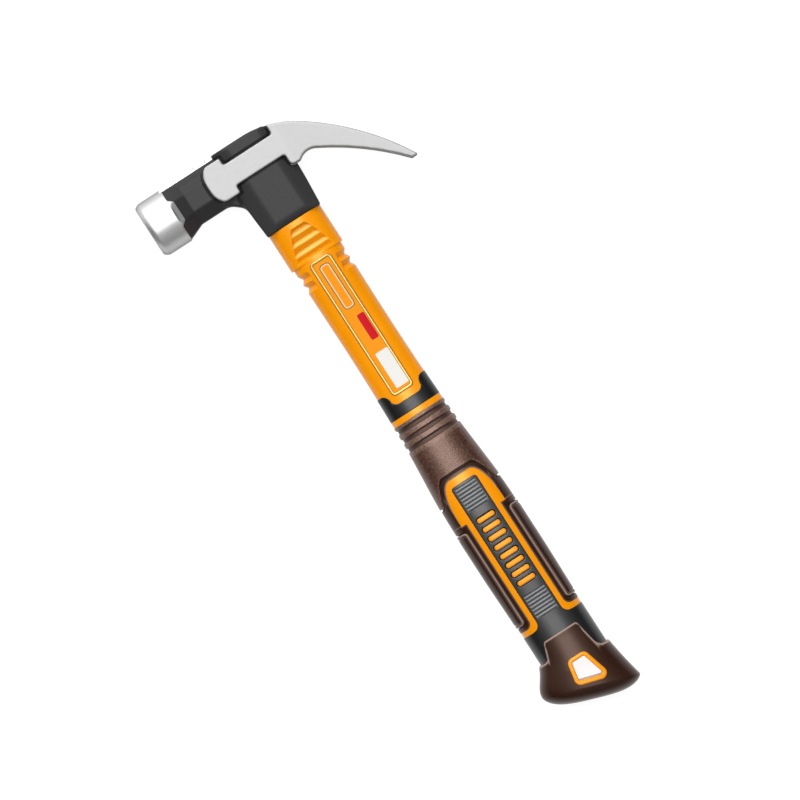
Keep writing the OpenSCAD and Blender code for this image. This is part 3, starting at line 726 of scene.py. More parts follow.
def louvres(x, y):
    """Share of a point in a louvred block, and its place across one louvre from -1 to 1."""
    share, across = 0 * x, 0 * x
    for middle in BLOCKS:
        inside = smooth(block_inside(x, y, LOUVRE_HALF, LOUVRE_LEN / 2, middle, 0.6) / 0.25 + 0.5)
        place = 2 * ((y - middle + LOUVRE_LEN / 2) / LOUVRE_LEN * LOUVRE_COUNT % 1) - 1
        share, across = np.maximum(share, inside), np.where(inside > 0, place, across)
    return share, across


def panel_relief(x, y):
    """Half-round louvres sunk into two blocks, and a fine gap round each index bar."""
    share, across = louvres(x, y)
    relief = -0.6 * share * (1 - np.sqrt(1 - across**2))
    for middle in BARS:
        relief = relief - 0.5 * smooth(block_inside(x, y, *BAR_HALF, middle, BAR_R) / 0.4 + 1.2)
    return relief


print("middles of the index bars in mm:", np.round(BARS, 2))

# %% [markdown]
# ### The panel
# The panel lies almost flush in the amber field, with rolled edges and louvres that carry a painted
# highlight. A row of bars joined to a plate could make the louvres. As relief in one sheet they need
# no joints, and the rows are close enough to draw each of them round.

# %% Panel
PANEL_R = 1.4
PANEL_EVEN = (-137.2, -174.5)
PROUD = 0.05


def panel(back):
    """Panel from its rounded top to the flared foot; its last row but one is flush with the band."""
    y = np.concatenate([crowded(PANEL_Y, PANEL_Y - 13, 130), np.linspace(*PANEL_EVEN, 210)[1:],
                        np.linspace(PANEL_EVEN[1], BAND_TOP, 150)[1:], [BAND_TOP]])
    foot_y = BAND_TOP + FOOT_R
    flare = FOOT_R - quarter(foot_y - y, FOOT_R)
    angle, x, y = front_grid(PANEL_HALF - round_end(y, PANEL_Y, -math.inf, PANEL_R) + flare, y, 74, back)
    in_foot = np.hypot(PANEL_HALF + FOOT_R - np.abs(x), y - foot_y) - FOOT_R
    body = in_corner(np.abs(x) - PANEL_HALF + PANEL_R, y - PANEL_Y + PANEL_R, PANEL_R)
    to_edge = np.clip(np.where(y < foot_y, in_foot, body), 0, None)
    lift = PROUD + panel_relief(x, y) + rolled(to_edge, 0.4)
    share, across = louvres(x, y)
    # Painted highlight over each louvred block, strongest along the louvres' crests.
    marks = {"painted_highlight": share * (0.4 + 0.6 * smooth(1 - np.abs(across) / 0.7))}
    return handle_patch(angle, y, lift, marks, hollow=False)


panels = [*panel(False), *panel(True)]
print("points of each panel:", panels[0][0][..., 0].size)

# %% [markdown]
# ### The band
# Both panels run down into one band, which tucks in under the butt. It is a ring between a level edge
# and the outline of the butt's tongue. Panels and band are one piece, as they are one shot in the mould.

# %% Band and inlay
TOE_FALL, HEEL_FALL = 6.6, 13.0
WRIST = (13.7, 10.9)


def butt_edge(x):
    """Upper edge of the butt: a level tongue in the middle that falls in two flanks to both edges."""
    places = [-1.0, -0.86, -0.78, -0.745, -0.6, -0.55, 0.52, 0.565, 0.705, 0.75, 0.84, 1.0]
    toe = [TOE_FALL + 1, TOE_FALL + 1, TOE_FALL + 0.6, TOE_FALL - 0.5, 0.7, 0]
    heel = [0, 0.7, HEEL_FALL - 2.6, HEEL_FALL - 1.2, HEEL_FALL, HEEL_FALL + 0.5]
    return BUTT_Y - np.interp(x / WRIST[0], places, toe + heel)


def under_butt(x):
    """Lower edge of the band, which tucks in under the butt's tongue."""
    return butt_edge(x) - 1.0


def band_relief(x, y):
    """Flush with the panel, and rolled over along the upper edge outside the panel's foot."""
    beside_foot = np.maximum(PANEL_HALF + FOOT_R - np.abs(x), 0)
    return PROUD + rolled(np.hypot(BAND_TOP - y, beside_foot), 0.4)


points, quads, _ = handle_ring(level(BAND_TOP), under_butt, np.linspace(0, 1, 60), band_relief, edge=0.002)
inlay_parts = [*panels, (points, quads, {"painted_highlight": 0.0})]
grip_inlay = make_piece("grip_inlay.black", inlay_parts, ["grip_inlay"])

# %% [markdown]
# ### Index bars
# The amber bars stand in gaps of the panel. A bevelled cube for each would lie flat on a surface that
# curves, so they are small patches of the handle's own surface, in the jacket's plastic.

# %% Index bars


def index_bars(back):
    """Low rounded bars: rows shorten towards both ends of a bar with the corner radius."""
    parts = []
    for middle in BARS:
        top, low = middle + BAR_HALF[1], middle - BAR_HALF[1]
        y = crowded(top, low, 15)
        angle, x, y = front_grid(BAR_HALF[0] - round_end(y, top, low, BAR_R), y, 33, back)
        inside = np.clip(block_inside(x, y, *BAR_HALF, middle, BAR_R), 0, None)
        parts += handle_patch(angle, y, 0.06 + rolled(inside, 0.45), {})
    return parts


index_marks = make_piece("index_bars.amber", index_bars(False) + index_bars(True))

# %% [markdown]
# ## The label
# A thin film with an embossed silver border lies on the front of the shaft, printed with a
# cartouche, a red and a white field. The border is a low ridge in the relief. For each field the
# sheet marks how far a point lies inside it, so the print has crisp edges at any distance.

# %% Label
LABEL_HALF, LABEL_R = 5.1, 2.0
LABEL_TOP, LABEL_END = -18.0, -81.0
FIELDS = {
    "cartouche": ((-2.2, 2.6), (-21.0, -41.6), 1.6),
    "red_field": ((0.2, 3.5), (-45.4, -57.2), 0.7),
    "white_field": ((-1.9, 3.8), (-62.4, -78.6), 0.5),
}


def field_mark(x, y, sides, ends, r):
    """Distance in from a rounded rectangle between two sides and two ends."""
    (left, right), (top, low) = sides, ends
    return block_inside(x - (left + right) / 2, y, (right - left) / 2, (top - low) / 2, (top + low) / 2, r)


def label_sheet():
    """Rounded rectangle on the front of the shaft with a ridge just inside its edge."""
    y = crowded(LABEL_TOP, LABEL_END, 220)
    angle, x, y = front_grid(LABEL_HALF - round_end(y, LABEL_TOP, LABEL_END, LABEL_R), y, 64)
    sides, ends = (-LABEL_HALF, LABEL_HALF), (LABEL_TOP, LABEL_END)
    inside = np.clip(field_mark(x, y, sides, ends, LABEL_R), 0, None)
    marks = {"film_inside": inside}
    for name, field in FIELDS.items():
        marks[name] = field_mark(x, y, *field)
    lift = 0.1 + 0.22 * bell(inside, 0.65, 0.42) + rolled(inside, 0.1)
    return handle_patch(angle, y, lift, marks, depth=0.3)


front_label = make_piece("front_label.film", label_sheet(), ["front_label"])

# %% [markdown]
# ## The butt
# The brown butt flares out to both sides and ends in a slanted dome. Its sections tilt from square
# across the handle to the slant of the end, so the surface is a loft of ovals between a left and a
# right edge line. The rows start at the tongue's edge, which is found for each column by halving.
# Butt, poll and claw tips are equally deep, so that the hammer rests flat on its side.

# %% Butt surface
TOE_LEN, HEEL_LEN = 18.4, 31.8
TOE_FLARE, HEEL_FLARE = 6.7, 4.2
HALF_DEPTH, DOME_RISE = 12.05, 5.6


def butt_section(q):
    """Middle, half width and half depth of the section at q: 0 to 1 down the body, 1 to 2 over the dome."""
    t = np.clip(q, 0, 1)
    left = np.stack([-WRIST[0] - TOE_FLARE * smooth(t**1.6), BUTT_Y - TOE_LEN * t], -1)
    right = np.stack([WRIST[0] + HEEL_FLARE * t**1.7, BUTT_Y - HEEL_LEN * t], -1)
    across = (right - left) / 2
    shrink = 1 - np.clip(q - 1, 0, 1) ** 2.2
    out = np.stack([across[..., 1], -across[..., 0]], -1) / np.linalg.norm(across, axis=-1, keepdims=True)
    rise = DOME_RISE * np.clip(1 - shrink**3.6, 0, 1) ** 0.62
    middle = (left + right) / 2 + rise[..., None] * out
    deep = mix(WRIST[1], HALF_DEPTH, smooth(t / 0.7)) * shrink
    return middle, across * shrink[..., None], deep


def on_butt(angle, q, lift):
    """Point of the butt's tilted oval at q, moved out in the plane of the section by lift."""
    middle, across, deep = butt_section(q)
    c, s = np.cos(angle), np.sin(angle)
    wide = np.maximum(np.linalg.norm(across, axis=-1), 1e-6)
    out_w = signed_power(c, 2 - 2 / SQUARENESS) / wide
    out_d = signed_power(s, 2 - 2 / SQUARENESS) / np.maximum(deep, 1e-6)
    size = np.hypot(out_w, out_d)
    reach = signed_power(c, 2 / SQUARENESS) + lift * out_w / size / wide
    flat = middle + across * reach[..., None]
    z = deep * signed_power(s, 2 / SQUARENESS) + lift * out_d / size
    return np.stack([flat[..., 0], flat[..., 1], z], -1)


def halve(shape, before):
    """For each point, the share from 0 to 1 where before(share) stops being true, by halving 40 times."""
    low, high = np.zeros(shape), np.ones(shape)
    for _ in range(40):
        share = (low + high) / 2
        still = before(share)
        low, high = np.where(still, share, low), np.where(still, high, share)
    return high


def below_edge(q):
    """Heights by which the butt's surface at q lies below the tongue's edge, and the edge's steepness."""
    x, y, _ = np.moveaxis(on_butt(ANGLES, q, 0), -1, 0)
    return butt_edge(x) - y, slope_of(butt_edge, x)


def butt():
    """Rows from a hidden inner pole over the tongue's rolled edge and the body to the pole of the dome."""
    first = halve(ANGLES.shape, lambda q: below_edge(q)[0] < 0)
    shares = np.concatenate([np.linspace(0, 0.12, 16), np.linspace(0.14, 1, 50)])[:, None]
    body = mix(first, 1.0, shares)
    dome = 1 + np.linspace(0.04, 1, 44)[:, None] + 0 * first
    q = np.concatenate([body[:1], body, dome])
    below, steepness = below_edge(q)
    to_edge = np.clip(below / np.hypot(1, steepness), 0, None)
    lift = 0.2 * smooth((0.55 - q) / 0.4) + rolled(to_edge, 0.6)
    lift[0] = -2.4
    points = on_butt(ANGLES, q, lift)
    pole = np.broadcast_to(np.array([0, BUTT_Y - 8.0, 0]), points[:1].shape)
    points = np.concatenate([pole, points])
    # Painted highlight along the tongue's rolled edge.
    marks = painted_highlight(np.concatenate([to_edge[:1], to_edge]), 0.5, 0.35)
    return points, quads_of(*points.shape[:2], around=True), marks


butt_cap = make_piece("butt_cap.brown", [butt()], ["butt_cap"])

# %% [markdown]
# ## The hanging hole
# A hole with four rounded corners goes right through the butt, for a hook. Its outline is worked out
# once, with the outward normal at each point, and serves the cut and the liner. The butt's thickness
# at a point is found by halving, so that the liner's flange can lie on its curve.

# %% Outline of the hole
HOLE_Y, HOLE_TOP, HOLE_LEN, HOLE_R = -208.4, 2.8, 10.6, 0.8
HOLE = [(-HOLE_TOP, HOLE_Y), (HOLE_TOP, HOLE_Y), (HOLE_TOP + 3.0, HOLE_Y - HOLE_LEN),
        (HOLE_TOP - 7.0, HOLE_Y - 0.72 * HOLE_LEN)]


def unit(vectors):
    """Vectors of the same directions and length 1."""
    return vectors / np.linalg.norm(vectors, axis=1, keepdims=True)


def rounded_outline(corners, r, steps=10):
    """Closed outline with each corner turned by an arc of radius r; gives points and outward normals."""
    corners = np.asarray(corners, float)
    before, after = (unit(np.roll(corners, shift, axis=0) - corners) for shift in (1, -1))
    half = np.arccos(np.sum(before * after, axis=1)) / 2
    inward = unit(before + after)
    centre = corners + inward * (r / np.sin(half))[:, None]
    middle = np.arctan2(-inward[:, 1], -inward[:, 0])
    turn = np.pi / 2 - half
    angle = middle[:, None] + np.linspace(1, -1, steps) * turn[:, None]
    normal = np.stack([np.cos(angle), np.sin(angle)], -1)
    return (centre[:, None, :] + r * normal).reshape(-1, 2), normal.reshape(-1, 2)


def butt_height(flat):
    """Half thickness of the butt over a point of the front view, by halving for the section through it."""
    def above(q):
        """Whether the section at q passes above the point."""
        middle, across, _ = butt_section(q)
        away = flat - middle
        return across[..., 0] * away[..., 1] - across[..., 1] * away[..., 0] < 0

    middle, across, deep = butt_section(halve(flat.shape[:-1], above))
    share = np.sum((flat - middle) * across, -1) / np.sum(across * across, -1)
    return deep * np.clip(1 - np.abs(share) ** SQUARENESS, 0, 1) ** (1 / SQUARENESS)


hole_points, hole_normals = rounded_outline(HOLE, HOLE_R)
print("points round the hole:", len(hole_points))

# %% [markdown]
# ### Cut and liner
# An amber liner goes right through the butt. The hole is cut with a Boolean, the one tool that
# leaves a clean edge in a finished surface, and the liner is a profile carried round the hole's
# outline: flange, rolled edge, wall, and the same again on the back.

# %% Cut and line the hole
EYELET_T = 1.9
CUT_HALF = 20.0


def hole_cutter():
    """Prism of the hole grown by nearly the liner's wall, closed by two fans of quads at its ends."""
    grown = hole_points + hole_normals * (EYELET_T - 0.15)
    middle = np.broadcast_to(grown.mean(0), grown.shape)
    rings = [(middle, -CUT_HALF), (grown, -CUT_HALF), (grown, CUT_HALF), (middle, CUT_HALF)]
    points = np.stack([np.column_stack([flat, np.full(len(flat), z)]) for flat, z in rings])
    return points, quads_of(*points.shape[:2], around=True)


def liner():
    """Profile of flange, rolled edges and wall, carried round the hole on both faces of the butt."""
    profile = [(EYELET_T, -1.4), (EYELET_T, -0.25), (1.82, -0.08), (1.65, 0.01), (1.4, 0.04), (0.7, 0.04),
               (0.35, -0.02), (0.12, -0.15), (0.0, -0.4), (0.0, -1.2)]
    rows = []
    for face in (1, -1):
        for out, rise in profile[::face]:
            flat = hole_points + hole_normals * out
            rows.append(np.column_stack([flat, face * (butt_height(flat) + rise)]))
    points = np.stack(rows)
    return points, quads_of(*points.shape[:2], around=True, closed=True), {}


def cut(piece, points, quads):
    """Takes a closed form out of a piece for good, and keeps the piece's smooth shading."""
    tool = add_object("cutter", make_mesh("cutter", points, quads, {}, outward=True))
    boolean = piece.modifiers.new("hole", "BOOLEAN")
    boolean.object = tool
    boolean.solver = "EXACT"
    result = bpy.data.meshes.new_from_object(piece.evaluated_get(bpy.context.evaluated_depsgraph_get()))
    piece.modifiers.clear()
    piece.data = result
    bpy.data.objects.remove(tool)
    print(f"{piece.name}: {len(result.polygons)} faces after the cut")


cut(butt_cap, *hole_cutter())
hang_eyelet = make_piece("hang_eyelet.amber", [liner()], ["hang_eyelet"])

# %% [markdown]
# ## The forged head
# A drop forging is one skin: poll, neck, cheeks and claw run into each other in small fillets.
# Sheets of two parameters would meet there in hard seams, so the head alone is made another way.
# Each form is a distance field, a function that says how far a point lies outside it. Rounded
# unions and cuts join the fields, and a net of quads is stretched where the sum changes sign.
# In all of these, x and y are places in the side view and a is the distance from the mid-plane.

# %% Rounded unions and cuts


def soft_max(a, b, k):
    """Larger of two distances, eased over k, so that the edge where they meet is rounded."""
    near = np.clip(1 - np.abs(a - b) / k, 0, None)
    return np.maximum(a, b) + k * near * near / 4


def soft_min(a, b, k):
    """Smaller of two distances, eased over k: a union with a fillet."""
    return -soft_max(-a, -b, k)


def common(k, *fields):
    """Common space of several fields with rounded edges."""
    result = fields[0]
    for field in fields[1:]:
        result = soft_max(result, field, k)
    return result


def plane(u, v, through, normal):
    """Signed distance of (u, v) from the line through a point with the given outward normal."""
    size = math.hypot(*normal)
    return ((u - through[0]) * normal[0] + (v - through[1]) * normal[1]) / size


def from_point(u, v, point):
    """Distance of (u, v) from a point."""
    return np.hypot(u - point[0], v - point[1])


print("a union eased over 1 mm, where both distances are 0:", soft_min(0.0, 0.0, 1.0))

# %% [markdown]
# ### Poll and neck
# The poll is a cylinder with a flat face and a bevel round it. Behind it the steel narrows to an
# octagonal neck, with a gusset below and a rib on top that carries the nail starter. A turned
# profile would do for the poll alone, but not for the eight-sided neck that it runs into.

# %% Poll and neck
POLL_R, POLL_Y, POLL_REAR = HALF_DEPTH, 27.65, -38.3
BEVEL_FOOT, BEVEL_OUT = (-49.2, POLL_R), (-1.3, 1.9)
NECK_Y, NECK_HALF = 28.45, (9.65, 7.7)
TAPER_X, TAPER_LEN, TAPER_R = -38.7, 7.1, 11.7
OCTAGON = 1.4142
GUSSET_FOOT, GUSSET_OUT, GUSSET_HALF = (-18.3, 18.8), (-4.0, -4.6), 4.6
RIB_TOP, RIB_HALF = 39.7, 5.0
RIB_ENDS = (-39.4, -10.0)


def poll(x, y, a):
    """Cylinder along x with a flat face and the bevel round it."""
    r = np.hypot(y - POLL_Y, a)
    return common(0.5, r - POLL_R, -FACE_REACH - x, plane(x, r, BEVEL_FOOT, BEVEL_OUT), x - POLL_REAR)


def neck(x, y, a):
    """Octagon inside the poll's cylinder, whose height and depth shrink to the neck's size over 7 mm."""
    t = np.clip((x - TAPER_X) / TAPER_LEN, 0, 1)
    high, deep = (mix(TAPER_R, half, t) for half in NECK_HALF)
    up = np.abs(y - mix(POLL_Y, NECK_Y, t))
    corner = (up / high + a / deep - OCTAGON) / np.hypot(1 / high, 1 / deep)
    body = common(0.35, up - high, a - deep, corner, np.hypot(y - POLL_Y, a) - POLL_R)
    return common(0.4, body, -39.0 - x, x)


def neck_fittings(x, y, a):
    """Gusset under the neck, and the rib on top that carries the nail starter."""
    gusset = common(1.2, plane(x, y, GUSSET_FOOT, GUSSET_OUT), y - NECK_Y, a - GUSSET_HALF, x)
    rib = common(0.7, y - RIB_TOP, a - RIB_HALF, x - RIB_ENDS[1], RIB_ENDS[0] - x, 30 - y)
    return gusset, rib


print("poll's diameter and reach from the handle's axis in mm:", 2 * POLL_R, FACE_REACH)

# %% [markdown]
# ### Eye block
# The block round the eye has a flat panel on each cheek and bevels on all its sides. A Bevel modifier
# would cut one angle along every edge. Here each face is a plane with a slope of its own, and the
# block is the space that lies behind all of them.

# %% Eye block
TOP_R = 43.0
TOP_C = np.array([-1.0, HEAD_H - TOP_R])
EYE_HALF, SKIRT_HALF = 13.7, 12.5
CHEEK_D, SKIRT_D = 8.5, 7.5


def top_line(x, y):
    """Distance above the head's top: level up to the handle's axis, then a large radius."""
    return np.where(x < TOP_C[0], y - HEAD_H, from_point(x, y, TOP_C) - TOP_R)


def eye_block(x, y, a):
    """Tapered block with a flat panel on each cheek, bevels beside it, and bevels at skirt and top."""
    far = np.abs(x)
    inner = plane(far, a, (7.8, CHEEK_D), (1.0, 2.4))
    outer = plane(far, a, (10.2, SKIRT_D), (1.6, 4.5))
    skirt = plane(y, a, (0.0, SKIRT_D), (-1.0, 2.2))
    brow = plane(y, a, (38.6, CHEEK_D), (1.0, 1.0))
    cheek = common(0.5, a - CHEEK_D, inner, outer)
    ends = common(0.5, -y, skirt, brow)
    sides = common(0.6, far - EYE_HALF, plane(far, y, (SKIRT_HALF, 0.0), (16.0, -1.2)))
    return common(0.6, cheek, ends, sides, top_line(x, y))


print("eye block's width and depth in mm:", 2 * EYE_HALF, 2 * CHEEK_D)

# %% [markdown]
# ### Claw
# The claw curves down to two tips with a V between them. From the side it lies between two large arcs,
# one from the top of the head, one from a small fillet at the root. Their middles are worked out
# from these neighbours, so the curves still touch when a radius is changed.

# %% Claw
OUTER_R, INNER_R, ROOT_R = 110.0, 114.0, 6.5
LIP_X, LIP_Y, LIP_R = 12.9, 20.8, 1.8
TIP, TIP_T = np.array([56.0, -4.4]), 2.7
HOLLOW_X = 13.4
ROOT_C = np.array([HOLLOW_X + ROOT_R, LIP_Y - ROOT_R])
SLOT_X, SLOT_HALF, SLOT_SLOPE, SLOT_FLARE = 25.0, 1.0, 0.1032, 0.9


def circles_meet(p, p_r, q, q_r):
    """Lower left of the two points that lie p_r from p and q_r from q."""
    d = np.linalg.norm(q - p)
    u = (q - p) / d
    t = (p_r**2 - q_r**2 + d**2) / (2 * d)
    return p + t * u + math.sqrt(p_r**2 - t**2) * np.array([-u[1], u[0]])


def touch_x(centre, r, towards):
    """Place along x where a circle touches the smaller one that lies in it around the second point."""
    return (centre + r * (towards - centre) / np.linalg.norm(towards - centre))[0]


OUTER_C = circles_meet(TIP, OUTER_R, TOP_C, OUTER_R - TOP_R)
INNER_C = circles_meet(TIP - [TIP_T, 0], INNER_R, ROOT_C, INNER_R - ROOT_R)
BLEND_X = touch_x(OUTER_C, OUTER_R, TOP_C)
ROOT_X = touch_x(INNER_C, INNER_R, ROOT_C)


def claw_sides(x, y):
    """Distances outside the claw's outer curve and inside its hollow: an arc and the blend at its root."""
    outer = np.where(x > BLEND_X, from_point(x, y, OUTER_C) - OUTER_R, top_line(x, y))
    fillet = np.where(y > ROOT_C[1], ROOT_R - from_point(x, y, ROOT_C), x - ROOT_C[0] + ROOT_R)
    inner = np.where(x > ROOT_X, INNER_R - from_point(x, y, INNER_C), fillet)
    return outer, inner


def claw_outline(x, y):
    """Side view of the claw with a rounded lip on the cheek and a blunt tip."""
    outer, inner = claw_sides(x, y)
    lip = -in_corner(LIP_X - x, np.where(x < ROOT_C[0], LIP_Y - y, -9.0), LIP_R)
    return common(0.3, outer, inner, lip, TIP[1] - y)


def nail_slot(x, y, a):
    """Distance into the V between the claw's tips, wider towards the outer curve, where nails go in."""
    outer, inner = claw_sides(x, y)
    share = np.clip(inner / np.minimum(inner + outer, -0.5), 0, 1)
    half = SLOT_HALF + SLOT_FLARE * share**1.5
    past = x - SLOT_X
    return np.where(past > 0, half + np.clip(past, 0, None) * SLOT_SLOPE - a, half - np.hypot(past, a))


print("claw's outer and inner arc start at x in mm:", BLEND_X.round(2), ROOT_X.round(2))

# %% [markdown]
# ### Bright band
# A ground band runs from the neck over the cheek into the claw, with a rounded lobe at its start and
# a fine groove round it. A mask in the material would look flat, so the band is a form of its own
# that stands a little proud of the painted steel.

# %% Bright band
BAND_Y, BAND_HALF = 29.0, 9.0
LOBE_X, LOBE_R, LOBE_HALF, LOBE_ENDS = -11.2, 11.2, 8.1, (-22.1, -11.7)
STRIP_HALF, STRIP_ENDS = 4.8, (-13.0, 14.0)
LINE_END = 14.5


def band_outline(x, y):
    """Side view of the bright band: a rounded lobe on the neck, a strip over the cheek, and the claw."""
    up = np.abs(y - BAND_Y)
    disc = from_point(x, y, (LOBE_X, BAND_Y)) - LOBE_R
    lobe = common(1.0, disc, LOBE_ENDS[0] - x, up - LOBE_HALF, x - LOBE_ENDS[1])
    strip = common(0.6, up - STRIP_HALF, STRIP_ENDS[0] - x, x - STRIP_ENDS[1])
    return soft_min(soft_min(lobe, strip, 1.2), claw_outline(x, y), 1.2)


def bright_band(x, y, a):
    """Band and claw through the whole head, widening from the cheeks to the tips."""
    half = mix(BAND_HALF, HALF_DEPTH, np.clip(part_of(x, EYE_HALF, TIP[0]), 0, 1))
    return common(0.6, band_outline(x, y), a - half)


def band_line(x, y):
    """Strength of the fine groove that runs round the bright band, outside it, as far as the claw's root."""
    return bell(band_outline(x, y), 0.45, 0.38) * (x < LINE_END)


print("bright band's width over the cheek in mm:", 2 * STRIP_HALF)

# %% [markdown]
# ### Joining the forms
# A forging has a fillet wherever two forms meet, wide at the gusset and tight at the band. A Boolean
# would leave sharp edges that have to be rounded one by one; an eased union takes a width of its own
# at each joint. The eye, the V and the nail starter are taken away last.

# %% The whole head
STARTER_X, STARTER_R = -19.9, 1.6
NOTCH_HALF, NOTCH_Y, POCKET_Y = 2.45, 38.8, 34.7
EYE_R = 5.72


def head_field(x, y, a):
    """Union of the forms, less a fine groove round the band, the eye, the nail slot and the nail starter."""
    gusset, rib = neck_fittings(x, y, a)
    body = soft_min(soft_min(poll(x, y, a), neck(x, y, a), 0.3), eye_block(x, y, a), 0.6)
    body = soft_min(soft_min(body, gusset, 1.6), rib, 0.8)
    groove = 0.5 * band_line(x, y) * (a > 5)
    body = soft_min(body + groove, bright_band(x, y, a), 0.15)
    eye = EYE_R - np.hypot(np.maximum(np.abs(x) - CORE_REACH, 0), a)
    starter = np.where(x < STARTER_X, STARTER_R - np.hypot(y - RIB_TOP, a), -9.0)
    notch = np.minimum(NOTCH_HALF - np.abs(x - STARTER_X), y - NOTCH_Y)
    pocket = np.minimum(STARTER_R - np.hypot(x - STARTER_X, a), y - POCKET_Y)
    return common(0.45, body, eye, nail_slot(x, y, a), starter, notch, pocket, y - HEAD_H)


print("steel round a point in the middle of the poll in mm:", -head_field(-44.0, POLL_Y, 0.0).round(2))

# %% [markdown]
# ### From field to mesh
# A Remesh modifier makes a mesh of any closed form too, but it blurs edges of half a millimetre. The
# net has one point in each cell that the surface crosses. Newton's rule then moves every point onto
# the surface itself, so that small fillets keep their form.

# %% A net through the field


def stretch_net(field, start, step):
    """Surface net: one point in each cell that the surface crosses, at the mean of the crossings on its
    twelve edges, and one quad round each grid edge whose ends lie on different sides."""
    inside = field < 0
    n = np.array(field.shape)
    ahead_by = np.eye(3, dtype=int)
    corner = np.array([[i, j, k] for i in (0, 1) for j in (0, 1) for k in (0, 1)])
    count = np.zeros(n - 1, np.int8)
    for i, j, k in corner:
        count += inside[i : n[0] - 1 + i, j : n[1] - 1 + j, k : n[2] - 1 + k]
    cells = np.argwhere((count > 0) & (count < 8))
    number = np.full(n - 1, -1)
    number[tuple(cells.T)] = np.arange(len(cells))
    total, hits = np.zeros((len(cells), 3)), np.zeros(len(cells))
    for axis in range(3):
        for foot in corner[corner[:, axis] == 0]:
            low, high = cells + foot, cells + foot + ahead_by[axis]
            f0, f1 = field[tuple(low.T)], field[tuple(high.T)]
            crossed = (f0 < 0) != (f1 < 0)
            t = np.where(crossed, f0 / np.where(crossed, f0 - f1, 1), 0)
            total += crossed[:, None] * (foot + t[:, None] * ahead_by[axis])
            hits += crossed
    points = start + step * (cells + total / hits[:, None])
    quads = []
    for axis in range(3):
        u, v = ahead_by[(axis + 1) % 3], ahead_by[(axis + 2) % 3]
        ahead = np.take(inside, range(1, n[axis]), axis)
        behind = np.take(inside, range(n[axis] - 1), axis)
        for flip, change in ((1, behind & ~ahead), (-1, ahead & ~behind)):
            at = np.argwhere(change)
            ring = [number[tuple((at - d).T)] for d in (u + v, v, 0 * u, u)]
            quads.append(np.stack(ring, -1)[:, ::flip])
    return points, np.concatenate(quads)


def side_view(points):
    """Places of points in the side view, and their distance from the mid-plane."""
    return points[:, 0], points[:, 1], np.abs(points[:, 2])


def settle(points, rounds=4, reach=0.01):
    """Newton's rule: each point moves along the field's slope, by field over slope, onto the skin."""
    for _ in range(rounds):
        ahead, behind = ([head_field(*side_view(points + way * step)) for step in reach * np.eye(3)]
                         for way in (1, -1))
        slope = (np.stack(ahead, -1) - np.stack(behind, -1)) / (2 * reach)
        steepness = np.maximum(np.sum(slope**2, axis=-1), 0.3)
        move = (head_field(*side_view(points)) / steepness)[:, None] * slope
        points = points - np.clip(move, -0.1, 0.1)
    return points


NET_STEP = 0.384
NET_X, NET_Y, NET_LAYERS = (-52.3, 57.4), (-5.9, 41.2), 68
layers = (np.arange(NET_LAYERS) - (NET_LAYERS - 1) / 2) * NET_STEP
net = [np.arange(*NET_X, NET_STEP), np.arange(*NET_Y, NET_STEP), layers]
net_x, net_y, net_z = np.meshgrid(*net, indexing="ij", sparse=True)
net_start = np.array([places[0] for places in net])
points, quads = stretch_net(head_field(net_x, net_y, np.abs(net_z)), net_start, NET_STEP)
points = settle(points)
print("points of the net:", len(points))

# %% [markdown]
# ### Where the head is ground
# Poll, band, claw and rib are ground bright, and the rest is painted. A mask painted by hand would
# blur close up. Each point is marked with its distance inside that border instead, and the material
# draws the line between steel and paint from it.

# %% Finishes of the head
POLL_EDGE, SCALLOP = -38.4, 2.1
CLAW_EDGE = 11.2
RIB_EDGE = (-13.9, 38.3)


def head_marks(x, y, a):
    """Finishes of the head: how far a point lies inside the bright (poll, band, claw, rib) and the polished
    steel, in millimetres, and the share of the groove, where the paint gets a painted shade."""
    poll_edge = POLL_EDGE + SCALLOP * smooth((6.4 - np.abs(y - 28)) / 2.4) * smooth((a - 4) / 2)
    on_band = np.minimum(0.1 - band_outline(x, y), 2 * (a - BAND_HALF + 0.3))
    on_claw = np.minimum(x - CLAW_EDGE, 0.5 - claw_outline(x, y))
    on_rib = np.minimum(np.minimum(y - RIB_EDGE[1], RIB_HALF + 0.6 - a), RIB_EDGE[0] - x)
    polished = np.maximum(poll_edge - x, on_rib)
    bright = np.maximum(np.maximum(on_band, on_claw), polished)
    groove = band_line(x, y) * smooth((a - 6) / 0.5)
    return {"bright": np.clip(bright, -1, 1), "polished": np.clip(polished, -1, 1), "groove": groove}


head_parts = [(points, quads, head_marks(*side_view(points)))]
head = make_piece("head.forged", head_parts, ["head"], sharp=180)

# %% [markdown]
# ## Materials
# Every finish is a node tree on the Principled shader. Colours are written as sRGB hex values, as
# a paint card gives them, and one function turns them into the linear values that Blender works in.
# One more function adds any node with its settings and links, so a material reads like a recipe.
# The colour sockets of a Mix node are numbered 6 and 7, and its number sockets 2 and 3.

# %% Tools for materials


def srgb(code):
    """Linear RGBA of an sRGB hex colour: ((c + 0.055) / 1.055) to the power 2.4, or c / 12.92 near black."""
    c = np.array([int(code[i : i + 2], 16) for i in (1, 3, 5)]) / 255
    return (*np.where(c > 0.04045, ((c + 0.055) / 1.055) ** 2.4, c / 12.92), 1.0)


def add(tree, kind, sockets=None, output=None, **settings):
    """Adds one node: settings are its properties, sockets its inputs as values, hex colours or outputs to
    link. Gives the output of that name, or else the first that the settings leave in use."""
    node = tree.nodes.new("ShaderNode" + kind)
    for name, value in settings.items():
        setattr(node, name, value)
    for name, value in (sockets or {}).items():
        if isinstance(value, bpy.types.NodeSocket):
            tree.links.new(value, node.inputs[name])
        else:
            node.inputs[name].default_value = srgb(value) if isinstance(value, str) else value
    if output:
        return node.outputs[output]
    return next((socket for socket in node.outputs if socket.enabled), None)


def start_finish(name):
    """New material with an empty node tree, and the Object coordinates for its patterns."""
    material = bpy.data.materials.new(name)
    material.use_nodes = True
    material.node_tree.nodes.clear()
    return material, material.node_tree, add(material.node_tree, "TexCoord", output="Object")


